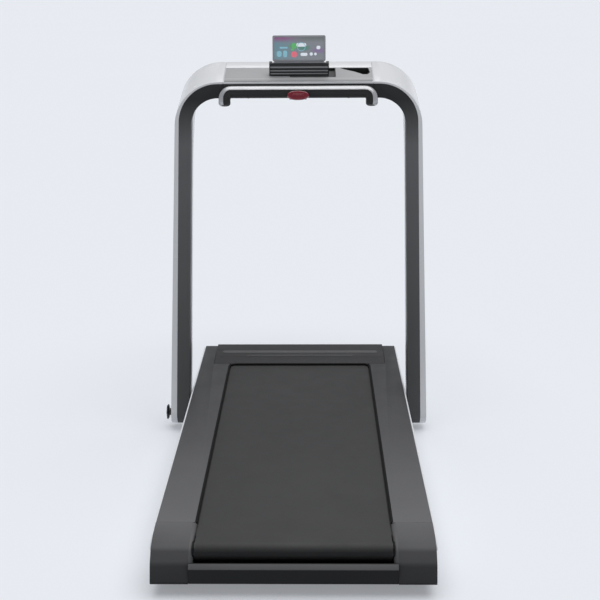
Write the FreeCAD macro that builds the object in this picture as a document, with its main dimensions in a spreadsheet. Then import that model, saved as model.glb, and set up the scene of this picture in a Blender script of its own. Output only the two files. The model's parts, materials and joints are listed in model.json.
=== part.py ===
import FreeCAD, Part
import math
import os
import Sketcher

# Fold-flat motorised treadmill: a low belt deck with an inverted-U arch hinged at its sides.
# It stands on the floor at Z = 0, with +X to the user's right and +Y the way the user faces.
# The origin is the middle of the machine's footprint. All lengths are millimetres.

Vector = FreeCAD.Vector

DIMENSIONS = {
    # Deck outline
    "deck_width": 630,
    "deck_rear": -679,
    "deck_front": 603,
    "rail_top": 115,
    "rail_inner": 219.7,
    "rail_outer": 311,
    "rail_rear": -559,
    "rail_front": 573,
    "skin": 3,
    "skirt_bottom": 31,
    "cap_inner": 228,
    "rear_cover_width": 455,
    "side_shell_top": 113,
    # Running belt, rollers and board
    "belt_half_width": 215.5,
    "belt_top": 109,
    "belt_thickness": 1.6,
    "belt_clearance": 0.3,
    "roller_radius": 21,
    "roller_half_length": 221,
    "roller_wall": 3.5,
    "rear_roller_place": -631,
    "front_roller_place": 426,
    "axle_radius": 8,
    "axle_half_length": 280,
    "running_gap": 0.05,
    "board_half_width": 276,
    "board_rear": -600,
    "board_front": 398,
    "board_thickness": 16,
    # Steel deck frame
    "frame_inner": 280,
    "frame_outer": 302,
    "frame_bottom": 45,
    "frame_height": 60,
    "frame_rear": -645,
    "frame_front": 590,
    "tube_wall": 2,
    "ledge_inner": 250,
    "ledge_top": 80,
    "ledge_thickness": 4,
    "ledge_front": 395,
    "cross_depth": 40,
    "cross_height": 14,
    # Motor bay
    "hood_rear": 419,
    "hood_half_width": 270,
    "hood_rise": 8,
    "motor_place": 511,
    "motor_height": 66,
    "motor_radius": 42,
    "motor_inner_end": 20,
    "motor_outer_end": 168,
    "motor_shaft_radius": 6,
    "pulley_inner": 221,
    "pulley_width": 16,
    "roller_pulley_radius": 21.5,
    "motor_pulley_radius": 10.75,
    "drive_belt_thickness": 3,
    "pan_bottom": 20,
    "controller_width": 150,
    "controller_depth": 90,
    "inlet_left": -230,
    "inlet_low": 48,
    "inlet_width": 60,
    "inlet_height": 34,
    # Floor contacts
    "foot_radius": 11,
    "foot_place": -575,
    "wheel_radius": 20,
    "wheel_width": 18,
    "wheel_place": 548,
    "wheel_bore": 4,
    # Arch pivot and lock
    "pivot_place": 201,
    "pivot_height": 47,
    "pivot_radius": 8,
    "bush_radius": 12,
    "bracket_thickness": 8,
    "bolt_end": 366,
    "bolt_head_radius": 13,
    "bolt_head_length": 6,
    "knob_radius": 24,
    "knob_neck_radius": 10,
    "knob_stem_radius": 4.95,
    "knob_start": 378.5,
    "knob_end": 392,
    # Arch, in its own leaning frame with the pivot at its origin
    "lean": 20.7,
    "arch_half_bottom": 376,
    "arch_half_top": 370,
    "arch_top": 984,
    "arch_corner": 130,
    "arch_inner_half": 321,
    "arch_inner_top": 935,
    "arch_inner_corner": 80,
    "leg_half_depth": 33,
    "console_depth": 134,
    "console_rise": 100,
    "underside_rise": 60,
    "haunch_start": 800,
    "haunch_end": 1010,
    "cover_half": 358,
    "cover_top": 978,
    "cover_corner": 115,
    "cover_depth": 50,
    "shell_wall": 3,
    "seam_half": 226,
    "frame_tube_radius": 18,
    "frame_tube_half": 345,
    "frame_tube_top": 974,
    "frame_tube_bend": 100,
    "lug_radius": 26,
    "lug_length": 60,
    "lug_width": 36,
    # Console top, measured along the sloping top face from its near edge
    "panel_half": 223,
    "panel_near": 28,
    "panel_far": 115,
    "panel_thickness": 3,
    "tray_depth": 26,
    "recess_depth": 8,
    "dish_wall": 1.5,
    "dish_gap": 0.4,
    "stand_left": -88,
    "stand_right": 92,
    "stand_near": 46,
    "stand_depth": 24,
    "stand_height": 38,
    "display_width": 160,
    "display_height": 76,
    "display_thickness": 9,
    "display_recline": 24,
    # Handlebar, in the arch's leaning frame
    "bar_half": 217,
    "bar_offset": -72,
    "bar_height": 943,
    "bar_core_radius": 14.5,
    "bar_skin_radius": 18,
    "bar_drop": 40,
    "bar_bend": 20,
    "bar_bright_angle": 82,
    "post_radius": 7.5,
    "post_place": 150,
    "key_low": 16,
    "key_width": 64,
    "key_height": 27,
    "key_depth": 10,
}

PLANE_AXES = {"XY_Plane": (0, 1), "XZ_Plane": (0, 2), "YZ_Plane": (1, 2)}
NODES = []

os.makedirs("parts", exist_ok=True)
doc = FreeCAD.newDocument("Treadmill")
sheet = doc.addObject("Spreadsheet::Sheet", "Sizes")
for row, (alias, amount) in enumerate(DIMENSIONS.items(), 1):
    sheet.set("A%d" % row, alias)
    sheet.set("B%d" % row, str(amount))
    sheet.setAlias("B%d" % row, alias)
doc.recompute()


def size(alias):
    """The number in one cell of the sheet."""
    return float(getattr(sheet, alias))


def formula(text):
    """Spell a formula of plain aliases the way the sheet's cells are addressed."""
    words = text.replace("(", " ( ").replace(")", " ) ").split()
    return " ".join("Sizes." + word if word in DIMENSIONS else word for word in words)


def number(text):
    """What a formula of plain aliases comes to."""
    words = text.replace("(", " ( ").replace(")", " ) ").split()
    filled = " ".join("(%r)" % size(word) if word in DIMENSIONS else word for word in words)
    return FreeCAD.Units.Quantity(filled).Value


def bind(thing, **formulas):
    """Bind properties of an object to formulas of the sheet's aliases."""
    for prop, text in formulas.items():
        thing.setExpression(prop.replace("__", "."), formula(text))


def node(thing, label, place=None):
    """Name a finished sub-part and put it in its place."""
    thing.Label = label
    if place is not None:
        thing.Placement = place
    NODES.append(thing)
    return thing


def at(x=0, y=0, z=0, turn=None):
    """A placement at a point, turned by a rotation."""
    return FreeCAD.Placement(Vector(x, y, z), turn or FreeCAD.Rotation())


ALONG_X = FreeCAD.Rotation(Vector(0, 1, 0), 90)
LEANING = at(0, size("pivot_place"), size("pivot_height"),
             FreeCAD.Rotation(Vector(1, 0, 0), -size("lean")))
TOP_SLOPE = math.degrees(math.atan2(size("console_rise"), size("console_depth")))
CONSOLE_TOP = LEANING.multiply(at(0, -size("leg_half_depth"), size("arch_top"),
                                  FreeCAD.Rotation(Vector(1, 0, 0), TOP_SLOPE)))


# ---------------------------------------------------------------- modelling helpers

def sketch_on(body, plane, corners, name="Outline"):
    """A closed outline whose corners are bound to the sheet, on one plane of the body.

    A corner is (x, y), or (x, y, radius) where a convex arc leads on to the next corner.
    Outlines with arcs run anticlockwise.
    """
    sketch = body.newObject("Sketcher::SketchObject", name)
    planes = {feature.Role: feature for feature in body.Origin.OriginFeatures}
    sketch.AttachmentSupport = [(planes[plane], "")]
    sketch.MapMode = "FlatFace"
    count = len(corners)
    places = [Vector(number(corner[0]), number(corner[1]), 0) for corner in corners]
    for i, corner in enumerate(corners):
        start, end = places[i], places[(i + 1) % count]
        edge = Part.LineSegment(start, end)
        if len(corner) == 3:
            edge = arc_between(start, end, number(corner[2]))
        sketch.addGeometry(edge, False)
    for i in range(count):
        sketch.addConstraint(Sketcher.Constraint("Coincident", i, 2, (i + 1) % count, 1))
    for i, corner in enumerate(corners):
        for kind, start, text in zip(("DistanceX", "DistanceY"), places[i], corner):
            index = sketch.addConstraint(Sketcher.Constraint(kind, -1, 1, i, 1, start))
            sketch.setExpression("Constraints[%d]" % index, formula(text))
        if len(corner) == 3:
            index = sketch.addConstraint(Sketcher.Constraint("Radius", i, number(corner[2])))
            sketch.setExpression("Constraints[%d]" % index, formula(corner[2]))
    return sketch


def arc_between(start, end, radius):
    """The arc that turns left from one point to the next."""
    chord = end - start
    reach = math.sqrt(max(radius * radius - chord.Length ** 2 / 4, 0))
    inward = Vector(-chord.y, chord.x, 0).normalize()
    centre = start + chord * 0.5 + inward * reach
    first = math.atan2(start.y - centre.y, start.x - centre.x)
    last = math.atan2(end.y - centre.y, end.x - centre.x)
    circle = Part.Circle(centre, Vector(0, 0, 1), radius)
    return Part.ArcOfCircle(circle, first, last if last > first else last + 2 * math.pi)


def pad(body, plane, corners, length, name="Pad", direction=None, both_ways=False):
    """Add an outline's prism to a body."""
    sketch = sketch_on(body, plane, corners, name + "Outline")
    feature = body.newObject("PartDesign::Pad", name)
    feature.Profile = sketch
    feature.Midplane = both_ways
    bind(feature, Length=length)
    if direction is not None:
        feature.UseCustomVector = True
        feature.Direction = direction
        feature.AlongSketchNormal = False
    doc.recompute()
    return feature


def pocket(body, plane, corners, length, name="Pocket", direction=None, both_ways=False,
           reverse=False):
    """Cut an outline's prism from a body and make sure that it cuts something."""
    before = body.Shape.Volume
    sketch = sketch_on(body, plane, corners, name + "Outline")
    feature = body.newObject("PartDesign::Pocket", name)
    feature.Profile = sketch
    feature.Midplane = both_ways
    feature.Reversed = reverse
    bind(feature, Length=length)
    if direction is not None:
        feature.UseCustomVector = True
        feature.Direction = direction
        feature.AlongSketchNormal = False
    doc.recompute()
    if body.Shape.Volume > before - 1:
        raise RuntimeError("%s cuts nothing" % feature.Label)
    return feature


def matching_edges(shape, wanted):
    """Names of the edges that a test accepts."""
    return ["Edge%d" % i for i, edge in enumerate(shape.Edges, 1) if wanted(edge)]


def dress(body, kind, wanted, radius, name):
    """Fillet or chamfer the edges of a body that a test accepts."""
    base = body.Tip
    edges = matching_edges(base.Shape, wanted)
    if not edges:
        raise RuntimeError("no edges for " + name)
    feature = body.newObject("PartDesign::" + kind, name)
    feature.Base = (base, edges)
    bind(feature, **{"Radius" if kind == "Fillet" else "Size": radius})
    doc.recompute()
    return feature


def round_corners(body, plane, places, radius, name="Round"):
    """Fillet the prism edges that start at the given points of the outline's plane."""
    first, second = PLANE_AXES[plane]

    def wanted(edge):
        if edge.Curve.TypeId != "Part::GeomLine":
            return False
        ends = [(vertex.Point[first], vertex.Point[second]) for vertex in edge.Vertexes]
        along = (edge.Vertexes[1].Point - edge.Vertexes[0].Point).normalize()
        if abs(along[3 - first - second]) < 0.5:
            return False
        return any(math.dist(end, place) < 0.01 for end in ends for place in places)

    return dress(body, "Fillet", wanted, radius, name)


def prism(label, plane, corners, length, place=None, both_ways=False):
    """A sub-part that is one padded outline."""
    body = doc.addObject("PartDesign::Body", label)
    pad(body, plane, corners, length, both_ways=both_ways)
    return node(body, label, place)


def cylinder(label, radius, length, place):
    """A plain cylinder along its own Z."""
    rod = doc.addObject("Part::Cylinder", label)
    bind(rod, Radius=radius, Height=length)
    rod.Placement = place
    return rod


def block(label, width, depth, height, place):
    """A plain box from its lowest corner."""
    cube = doc.addObject("Part::Box", label)
    bind(cube, Length=width, Width=depth, Height=height)
    cube.Placement = place
    return cube


def joined(label, shapes):
    """Several solids as one."""
    fuse = doc.addObject("Part::MultiFuse", label)
    fuse.Shapes = shapes
    fuse.Refine = True
    return fuse


def cut(label, base, *tools):
    """A solid with one or more tools taken away."""
    result = base
    for index, tool in enumerate(tools, 1):
        feature = doc.addObject("Part::Cut", "%s_cut%d" % (label, index))
        feature.Base = result
        feature.Tool = tool
        result = feature
    return result


def common(label, base, tool):
    """What two solids share."""
    feature = doc.addObject("Part::Common", label)
    feature.Base = base
    feature.Tool = tool
    return feature


def group(label, members):
    """Separate solids that share one node."""
    compound = doc.addObject("Part::Compound", label)
    compound.Links = members
    return node(compound, label)


def ring_of(label, outer, inner, length, place):
    """A tube along its own Z."""
    return cut(label, cylinder(label + "_outer", outer, length, place),
               cylinder(label + "_bore", inner, length, place))


def belt_loop(start, start_radius, end, end_radius, x_low, width, thickness):
    """A flat belt round two wheels whose axes lie along X; start and end are (y, z)."""
    def face(extra):
        radius_a = start_radius + extra
        radius_b = end_radius + extra
        run = Vector(0, end[0] - start[0], end[1] - start[1])
        ahead = Vector(run).normalize()
        side = Vector(0, -ahead.z, ahead.y)
        lean_in = (radius_a - radius_b) / run.Length
        spread = math.sqrt(1 - lean_in * lean_in)
        a = Vector(x_low, start[0], start[1])
        b = Vector(x_low, end[0], end[1])
        up = ahead * lean_in + side * spread
        down = ahead * lean_in - side * spread
        edges = [
            Part.LineSegment(a + up * radius_a, b + up * radius_b),
            Part.Arc(b + up * radius_b, b + ahead * radius_b, b + down * radius_b),
            Part.LineSegment(b + down * radius_b, a + down * radius_a),
            Part.Arc(a + down * radius_a, a - ahead * radius_a, a + up * radius_a),
        ]
        return Part.Face(Part.Wire([edge.toShape() for edge in edges]))

    return face(thickness).cut(face(0)).extrude(Vector(width, 0, 0))


def shaped(label, shape, place=None):
    """A sub-part whose shape is worked out in code."""
    feature = doc.addObject("Part::Feature", label)
    feature.Shape = shape
    return node(feature, label, place)


SIDES = (("left", -1), ("right", 1))


def mirrored_start(side, low, high):
    """The lower X of a span that runs from low to high on the given side."""
    return low if side > 0 else -high


# ---------------------------------------------------------------- deck frame

def side_rails():
    """Rectangular steel tubes with a welded ledge that carries the board."""
    for name, side in SIDES:
        label = "side_rail_" + name
        body = doc.addObject("PartDesign::Body", label)
        s = "" if side > 0 else "-1 * "
        outline = [(s + "frame_inner", "frame_bottom"), (s + "frame_outer", "frame_bottom"),
                   (s + "frame_outer", "frame_bottom + frame_height"),
                   (s + "frame_inner", "frame_bottom + frame_height")]
        pad(body, "XZ_Plane", outline, "frame_front - frame_rear")
        hollow = [(s + "( frame_inner + tube_wall )", "frame_bottom + tube_wall"),
                  (s + "( frame_outer - tube_wall )", "frame_bottom + tube_wall"),
                  (s + "( frame_outer - tube_wall )", "frame_bottom + frame_height - tube_wall"),
                  (s + "( frame_inner + tube_wall )", "frame_bottom + frame_height - tube_wall")]
        pocket(body, "XZ_Plane", hollow, "frame_front - frame_rear", reverse=True)
        ledge = [(s + "ledge_inner", "ledge_top - ledge_thickness"),
                 (s + "( frame_inner + 1 )", "ledge_top - ledge_thickness"),
                 (s + "( frame_inner + 1 )", "ledge_top"), (s + "ledge_inner", "ledge_top")]
        pad(body, "XZ_Plane", ledge, "frame_front - frame_rear", name="Ledge")
        for end, near, far in (("Front", "5", "ledge_front - frame_front"),
                               ("Rear", "board_rear - frame_front",
                                "frame_rear - frame_front - 5")):
            gap = [(s + "( ledge_inner - 5 )", near), (s + "( ledge_inner - 5 )", far),
                   (s + "frame_inner", far), (s + "frame_inner", near)]
            pocket(body, "XY_Plane", gap, "frame_height * 2", name="Ledge" + end, reverse=True)
        slope = [("frame_rear - frame_front - 5", "frame_bottom + frame_height - 20"),
                 ("frame_rear - frame_front + 42", "frame_bottom + frame_height + 1"),
                 ("frame_rear - frame_front - 5", "frame_bottom + frame_height + 1")]
        pocket(body, "YZ_Plane", slope, "2 * deck_width", name="RearSlope", both_ways=True)
        node(body, label)
        bind(body, Placement__Base__y="frame_front")


def cross_members():
    """Flat cross tubes between the rails, below the belt's return run."""
    members = []
    for name, y in (("rear", size("rail_rear") + 30), ("middle", size("pivot_place"))):
        place = at(-size("frame_inner"), y - size("cross_depth") / 2, size("frame_bottom"))
        outer = block("cross_" + name, "2 * frame_inner", "cross_depth", "cross_height", place)
        wall = size("tube_wall")
        inner = block("cross_bore_" + name, "2 * frame_inner", "cross_depth - 2 * tube_wall",
                      "cross_height - 2 * tube_wall",
                      at(place.Base.x, place.Base.y + wall, place.Base.z + wall))
        members.append(cut("cross_member_" + name, outer, inner))
    group("cross_members", members)


def deck_board():
    """The plywood board under the belt, on rubber cushions that stand on the rail ledges."""
    top = size("belt_top") - size("belt_thickness") - size("belt_clearance")
    low = top - size("board_thickness")
    board = block("board", "2 * board_half_width", "board_front - board_rear", "board_thickness",
                  at(-size("board_half_width"), size("board_rear"), low))
    node(board, "deck_board")
    cushions = []
    span = size("board_front") - size("board_rear") - 120
    for side in (-1, 1):
        for step in range(4):
            y = size("board_rear") + 60 + step * span / 3
            cushion = doc.addObject("Part::Cylinder", "cushion")
            cushion.Radius = 10
            cushion.Height = low - size("ledge_top")
            cushion.Placement = at(side * (size("ledge_inner") + 14), y, size("ledge_top"))
            cushions.append(cushion)
    group("board_cushions", cushions)


# ---------------------------------------------------------------- belt and drive

ROLLER_HEIGHT = (size("belt_top") - size("belt_thickness") - size("belt_clearance")
                 - size("roller_radius"))


def running_belt():
    """The endless running belt round both rollers."""
    radius = size("roller_radius") + size("belt_clearance")
    shaped("running_belt", belt_loop(
        (size("rear_roller_place"), ROLLER_HEIGHT), radius,
        (size("front_roller_place"), ROLLER_HEIGHT), radius,
        -size("belt_half_width"), 2 * size("belt_half_width"), size("belt_thickness")))


def roller(name):
    """A steel roller tube on two sealed bearings round a fixed axle."""
    y = size(name + "_roller_place")
    half = size("roller_half_length")
    place = at(-half, y, ROLLER_HEIGHT, ALONG_X)
    node(ring_of(name + "_tube", "roller_radius", "roller_radius - roller_wall",
                 "2 * roller_half_length", place), name + "_roller")
    bearings = []
    for start in (-half + 2, half - 14):
        bearings.append(ring_of(name + "_bearing", "roller_radius - roller_wall",
                                "axle_radius + running_gap", "12",
                                at(start, y, ROLLER_HEIGHT, ALONG_X)))
    group(name + "_bearings", bearings)
    axle = cylinder(name + "_axle_rod", "axle_radius", "2 * axle_half_length",
                    at(-size("axle_half_length"), y, ROLLER_HEIGHT, ALONG_X))
    node(axle, name + "_axle")


def tension_bolts():
    """Bolts that push the rear axle back to tighten the belt."""
    bolts = []
    reach = size("rear_roller_place") + size("axle_radius")
    for side in (-1, 1):
        x = side * (size("ledge_inner") - 10)
        turn = FreeCAD.Rotation(Vector(1, 0, 0), -90)
        shank = cylinder("shank", "axle_radius / 2", "14", at(x, reach, ROLLER_HEIGHT, turn))
        head = cylinder("head", "axle_radius - 2", "6", at(x, reach + 13, ROLLER_HEIGHT, turn))
        bolts.append(joined("tension_bolt", [shank, head]))
    group("tension_bolts", bolts)


def pulley(label, radius, bore, place, grooves=4):
    """A multi-rib pulley along its own Z, with a groove between each pair of ribs."""
    body = doc.addObject("PartDesign::Body", label)
    width = size("pulley_width")
    outer = size(radius)
    pitch = (width - 4) / grooves
    corners = [(bore, "0.01"), (radius, "0.01")]
    for groove in range(grooves):
        start = 2 + groove * pitch
        corners.append((radius, "%.3f" % start))
        corners.append((radius + " - 1.5", "%.3f" % (start + pitch / 2)))
    corners += [(radius, "%.3f" % (width - 2)), (radius, "pulley_width"), (bore, "pulley_width")]
    sketch = sketch_on(body, "XZ_Plane", corners)
    turn = body.newObject("PartDesign::Revolution", "Turn")
    turn.Profile = sketch
    turn.ReferenceAxis = (sketch, ["V_Axis"])
    turn.Angle = 360
    doc.recompute()
    if abs(body.Shape.BoundBox.XMax - outer) > 0.1:
        raise RuntimeError(label + " has the wrong radius")
    return node(body, label, place)


def drive():
    """The motor, its shaft and pulley, the roller's pulley and the ribbed drive belt."""
    y = size("motor_place")
    z = size("motor_height")
    low = size("motor_inner_end")
    case = cylinder("case_outer", "motor_radius", "motor_outer_end - motor_inner_end",
                    at(low, y, z, ALONG_X))
    room = cylinder("case_room", "motor_radius - 6", "motor_outer_end - motor_inner_end - 16",
                    at(low + 8, y, z, ALONG_X))
    bore = cylinder("case_bore", "motor_shaft_radius + running_gap",
                    "motor_outer_end - motor_inner_end", at(low, y, z, ALONG_X))
    node(cut("motor_case", case, room, bore), "motor_case")
    shaft = cylinder("shaft_rod", "motor_shaft_radius", "pulley_inner + pulley_width - 10",
                     at(10, y, z, ALONG_X))
    armature = cylinder("armature", "motor_radius - 12", "100", at(low + 24, y, z, ALONG_X))
    node(joined("motor_shaft_solid", [shaft, armature]), "motor_shaft")
    pulley("motor_pulley", "motor_pulley_radius", "motor_shaft_radius",
           at(size("pulley_inner"), y, z, ALONG_X))
    pulley("roller_pulley", "roller_pulley_radius", "axle_radius + 1",
           at(size("pulley_inner"), size("front_roller_place"), ROLLER_HEIGHT, ALONG_X))
    gap = size("belt_clearance")
    shaped("drive_belt", belt_loop(
        (size("front_roller_place"), ROLLER_HEIGHT), size("roller_pulley_radius") + gap,
        (y, z), size("motor_pulley_radius") + gap,
        size("pulley_inner") + 2, size("pulley_width") - 4, size("drive_belt_thickness")))


def motor_bracket():
    """Two cross bars and an upright plate that the motor's end face is bolted to."""
    y = size("motor_place")
    bars = []
    for start in (size("front_roller_place") + 4, y + 50):
        bars.append(block("bracket_bar", "2 * frame_inner", "15", "cross_height",
                          at(-size("frame_inner"), start, size("frame_bottom"))))
    plate = block("bracket_plate", "4", "146", "55",
                  at(size("motor_outer_end"), size("front_roller_place") + 4,
                     size("frame_bottom")))
    hole = cylinder("bracket_hole", "motor_shaft_radius + 8", "4",
                    at(size("motor_outer_end"), y, size("motor_height"), ALONG_X))
    axle_slot = cylinder("axle_slot", "roller_radius + 4", "4",
                         at(size("motor_outer_end"), size("front_roller_place"), ROLLER_HEIGHT,
                            ALONG_X))
    node(cut("motor_bracket", joined("bracket_weld", bars + [plate]), hole, axle_slot),
         "motor_bracket")


def electronics():
    """Motor controller with cooling fins, and the mains inlet with its rocker switch."""
    body = doc.addObject("PartDesign::Body", "controller_box")
    pad(body, "XY_Plane", [("0", "0"), ("controller_width", "0"),
                           ("controller_width", "controller_depth"), ("0", "controller_depth")],
        "24")
    fin_pitch = 12.5
    for fin in range(7):
        start = "%.1f" % (4 + fin * fin_pitch)
        end = "%.1f" % (6.5 + fin * fin_pitch)
        pad(body, "XY_Plane", [("4", start), ("controller_width - 4", start),
                               ("controller_width - 4", end), ("4", end)],
            "38", name="Fin%d" % fin)
    node(body, "controller_box")
    body.Placement = at(-240, 462, size("frame_bottom"))

    front = size("deck_front")
    left = size("inlet_left")
    inlet = block("inlet_body", "inlet_width", "25", "inlet_height",
                  at(left, front - size("skin") - 22, size("inlet_low")))
    socket = block("inlet_socket", "24", "16", "20", at(left + 8, front - 13, 55))
    switch_room = block("switch_room", "18.6", "14", "24.6", at(left + 36.7, front - 12, 52.7))
    node(cut("power_inlet", inlet, socket, switch_room), "power_inlet")
    rocker = doc.addObject("PartDesign::Body", "power_switch")
    pad(rocker, "YZ_Plane", [("-8", "-8.5"), ("1", "-11.4"), ("2.5", "-8"), ("0.8", "0.5"),
                             ("3.6", "8"), ("3.6", "10.6"), ("2.2", "11.4"), ("-8", "8.5")],
        "18", both_ways=True)
    node(rocker, "power_switch")
    rocker.Placement = at(-184, size("deck_front"), 65)


# ---------------------------------------------------------------- deck covers

def hood_outline(inset):
    """Side view of the hump, whose rear edge stays clear of the belt that runs in under it."""
    top = "rail_top - " + inset
    return [("hood_rear + " + inset, "110.5"), ("hood_rear + " + inset, top),
            ("hood_rear + 66", top), ("hood_rear + 102", top + " + hood_rise - 1"),
            ("deck_front - 28", top + " + hood_rise"),
            ("deck_front - 8 - " + inset, "108 - " + inset), ("deck_front - 8 - " + inset, "100"),
            ("hood_rear + 45 + " + inset, "100"), ("hood_rear + 45 + " + inset, "110.5")]


def nose_outline(inset):
    """Side view of the full-width front end."""
    return [("rail_front", "skirt_bottom"), ("deck_front - " + inset, "skirt_bottom"),
            ("deck_front - " + inset, "98 - " + inset),
            ("deck_front - 12 - " + inset, "111 - " + inset),
            ("rail_front", "rail_top - " + inset)]


def motor_hood():
    """The cover over the motor bay: a low hump between the rails and a full-width nose."""
    hump = doc.addObject("PartDesign::Body", "Hump")
    pad(hump, "YZ_Plane", hood_outline("0"), "2 * hood_half_width", both_ways=True)
    wide = size("rail_top") + size("hood_rise")
    round_corners(hump, "YZ_Plane", [(size("hood_rear") + 66, size("rail_top")),
                                     (size("hood_rear") + 102, wide - 1)], "60", "Blend")
    round_corners(hump, "YZ_Plane", [(size("deck_front") - 28, wide)], "16", "NoseBlend")
    nose = doc.addObject("PartDesign::Body", "Nose")
    pad(nose, "YZ_Plane", nose_outline("0"), "2 * rail_outer", both_ways=True)
    round_corners(nose, "YZ_Plane", [(size("deck_front"), 98), (size("deck_front") - 12, 111)],
                  "12", "NoseRound")
    room = doc.addObject("PartDesign::Body", "HumpRoom")
    pad(room, "YZ_Plane", hood_outline("skin"), "2 * hood_half_width - 2 * skin", both_ways=True)
    nose_room = doc.addObject("PartDesign::Body", "NoseRoom")
    pad(nose_room, "YZ_Plane", nose_outline("skin"), "2 * rail_outer - 2 * skin", both_ways=True)
    openings = [room, nose_room,
                block("inlet_window", "inlet_width + 0.4", "10", "inlet_height + 0.4",
                      at(size("inlet_left") - 0.2, size("deck_front") - 6,
                         size("inlet_low") - 0.2))]
    node(cut("motor_hood", joined("hood_skin", [hump, nose]), *openings), "motor_hood")


def foot_rails():
    """The broad side covers that the user stands astride the belt on."""
    for name, side in SIDES:
        label = "foot_rail_" + name
        body = doc.addObject("PartDesign::Body", label)
        s = "" if side > 0 else "-1 * "
        under = "rail_top - skin"
        outline = [(s + "rail_inner", "108"), (s + "( rail_inner + skin )", "108"),
                   (s + "( rail_inner + skin )", under), (s + "( rail_outer - skin )", under),
                   (s + "( rail_outer - skin )", "90"), (s + "rail_outer", "90"),
                   (s + "rail_outer", "rail_top"), (s + "rail_inner", "rail_top")]
        pad(body, "XZ_Plane", outline, "rail_front - rail_rear")
        round_corners(body, "XZ_Plane", [(side * size("rail_outer"), size("rail_top"))], "2.5")
        round_corners(body, "XZ_Plane", [(side * size("rail_inner"), size("rail_top"))], "1.5",
                      "InnerRound")
        notch = [(s + "( rail_inner - 5 )", "-1 * ( rail_front - hood_rear )"),
                 (s + "( hood_half_width + 0.5 )", "-1 * ( rail_front - hood_rear )"),
                 (s + "( hood_half_width + 0.5 )", "5"), (s + "( rail_inner - 5 )", "5")]
        pocket(body, "XY_Plane", notch, "rail_top + 20", name="Notch", reverse=True)
        node(body, label)
        bind(body, Placement__Base__y="rail_front")


def side_shells():
    """Thin white side shells whose edge shows as a line along the deck."""
    for name, side in SIDES:
        label = "side_shell_" + name
        body = doc.addObject("PartDesign::Body", label + "_blank")
        rear = "rail_rear"
        outline = [("deck_front - 6", "skirt_bottom"), ("deck_front - 6", "96"),
                   ("rail_front", "side_shell_top"), (rear, "side_shell_top"),
                   (rear + " - 42", "side_shell_top - 3"), (rear + " - 62", "side_shell_top - 11"),
                   (rear + " - 74", "side_shell_top - 24"), (rear + " - 30", "52"),
                   (rear + " - 12", "skirt_bottom")]
        pad(body, "YZ_Plane", outline, "deck_width / 2 - rail_outer")
        tail = (size("rail_rear") - 74, size("side_shell_top") - 24)
        round_corners(body, "YZ_Plane", [tail], "6", "TailRound")
        shell = node(cut(label, body, cylinder(
            "pivot_window", "pivot_radius + 2", "20",
            at(-10, size("pivot_place"), size("pivot_height"), ALONG_X))), label)
        shell.Placement = at(mirrored_start(side, size("rail_outer"), size("deck_width") / 2))


def cap_outline(inset):
    """Side view of the rear caps, falling away from the rail tops in a waterfall curve."""
    return [("rail_rear - 0.5", "skirt_bottom"), ("deck_rear + 2 + " + inset, "skirt_bottom"),
            ("deck_rear + " + inset, "37"), ("deck_rear + 13 + " + inset, "74 - " + inset),
            ("deck_rear + 36 + " + inset, "100 - " + inset),
            ("deck_rear + 68 + " + inset, "111 - " + inset),
            ("rail_rear - 0.5", "rail_top - " + inset)]


def rear_caps():
    """Moulded end caps over the rear roller's ends."""
    rear = size("deck_rear")
    for name, side in SIDES:
        label = "rear_cap_" + name
        outer = doc.addObject("PartDesign::Body", label + "_skin")
        pad(outer, "YZ_Plane", cap_outline("0"), "rail_outer - cap_inner")
        round_corners(outer, "YZ_Plane", [(rear + 36, 100), (rear + 13, 74)], "30", "Fall")
        room = doc.addObject("PartDesign::Body", label + "_room")
        pad(room, "YZ_Plane", cap_outline("skin"), "rail_outer - cap_inner - 2 * skin")
        room.Placement = at(size("skin"))
        reach = 5 if side > 0 else 0
        board_room = block(label + "_board", "rail_outer - cap_inner - skin + 5", "60", "86.5",
                           at(size("skin") * (side < 0) - reach, size("board_rear") - 4, 22))
        axle_hole = cylinder(label + "_axle_hole", "axle_radius + 2", "100",
                             at(-5, size("rear_roller_place"), ROLLER_HEIGHT, ALONG_X))
        cap = node(cut(label, outer, room, board_room, axle_hole), label)
        cap.Placement = at(mirrored_start(side, size("cap_inner"), size("rail_outer")))


def rear_cover():
    """The low cross cover below the rear roller, with a bevel along its top."""
    outline = [("deck_rear + 14", "77"), ("deck_rear + 10", "77"), ("deck_rear", "68"),
               ("deck_rear", "34"), ("deck_rear + 3", "skirt_bottom"),
               ("deck_rear + 80", "skirt_bottom"), ("deck_rear + 80", "skirt_bottom + skin"),
               ("deck_rear + 4.5", "skirt_bottom + skin"), ("deck_rear + skin", "36"),
               ("deck_rear + skin", "66.5"), ("deck_rear + 11.2", "73.8"),
               ("deck_rear + 14", "73.8")]
    prism("rear_cover", "YZ_Plane", outline, "rear_cover_width", both_ways=True)


def belly_pan():
    """The tray that closes the motor bay from below."""
    outline = [("hood_rear + 6", "frame_bottom"), ("hood_rear + 6", "pan_bottom + 8"),
               ("hood_rear + 20", "pan_bottom"), ("deck_front - 20", "pan_bottom"),
               ("deck_front - 3.2", "skirt_bottom"), ("deck_front - 3.2", "44"),
               ("deck_front - 6", "44"), ("deck_front - 6", "skirt_bottom + 1.5"),
               ("deck_front - 21", "pan_bottom + skin"), ("hood_rear + 21", "pan_bottom + skin"),
               ("hood_rear + 9", "pan_bottom + 10"), ("hood_rear + 9", "frame_bottom")]
    prism("belly_pan", "YZ_Plane", outline, "2 * ledge_inner", both_ways=True)


# ---------------------------------------------------------------- floor contacts

def rear_feet():
    """Rubber feet under the rails at the rear."""
    feet = []
    for side in (-1, 1):
        x = side * (size("frame_inner") + size("frame_outer")) / 2
        feet.append(cylinder("foot", "foot_radius", "frame_bottom", at(x, size("foot_place"))))
    group("rear_feet", feet)


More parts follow.
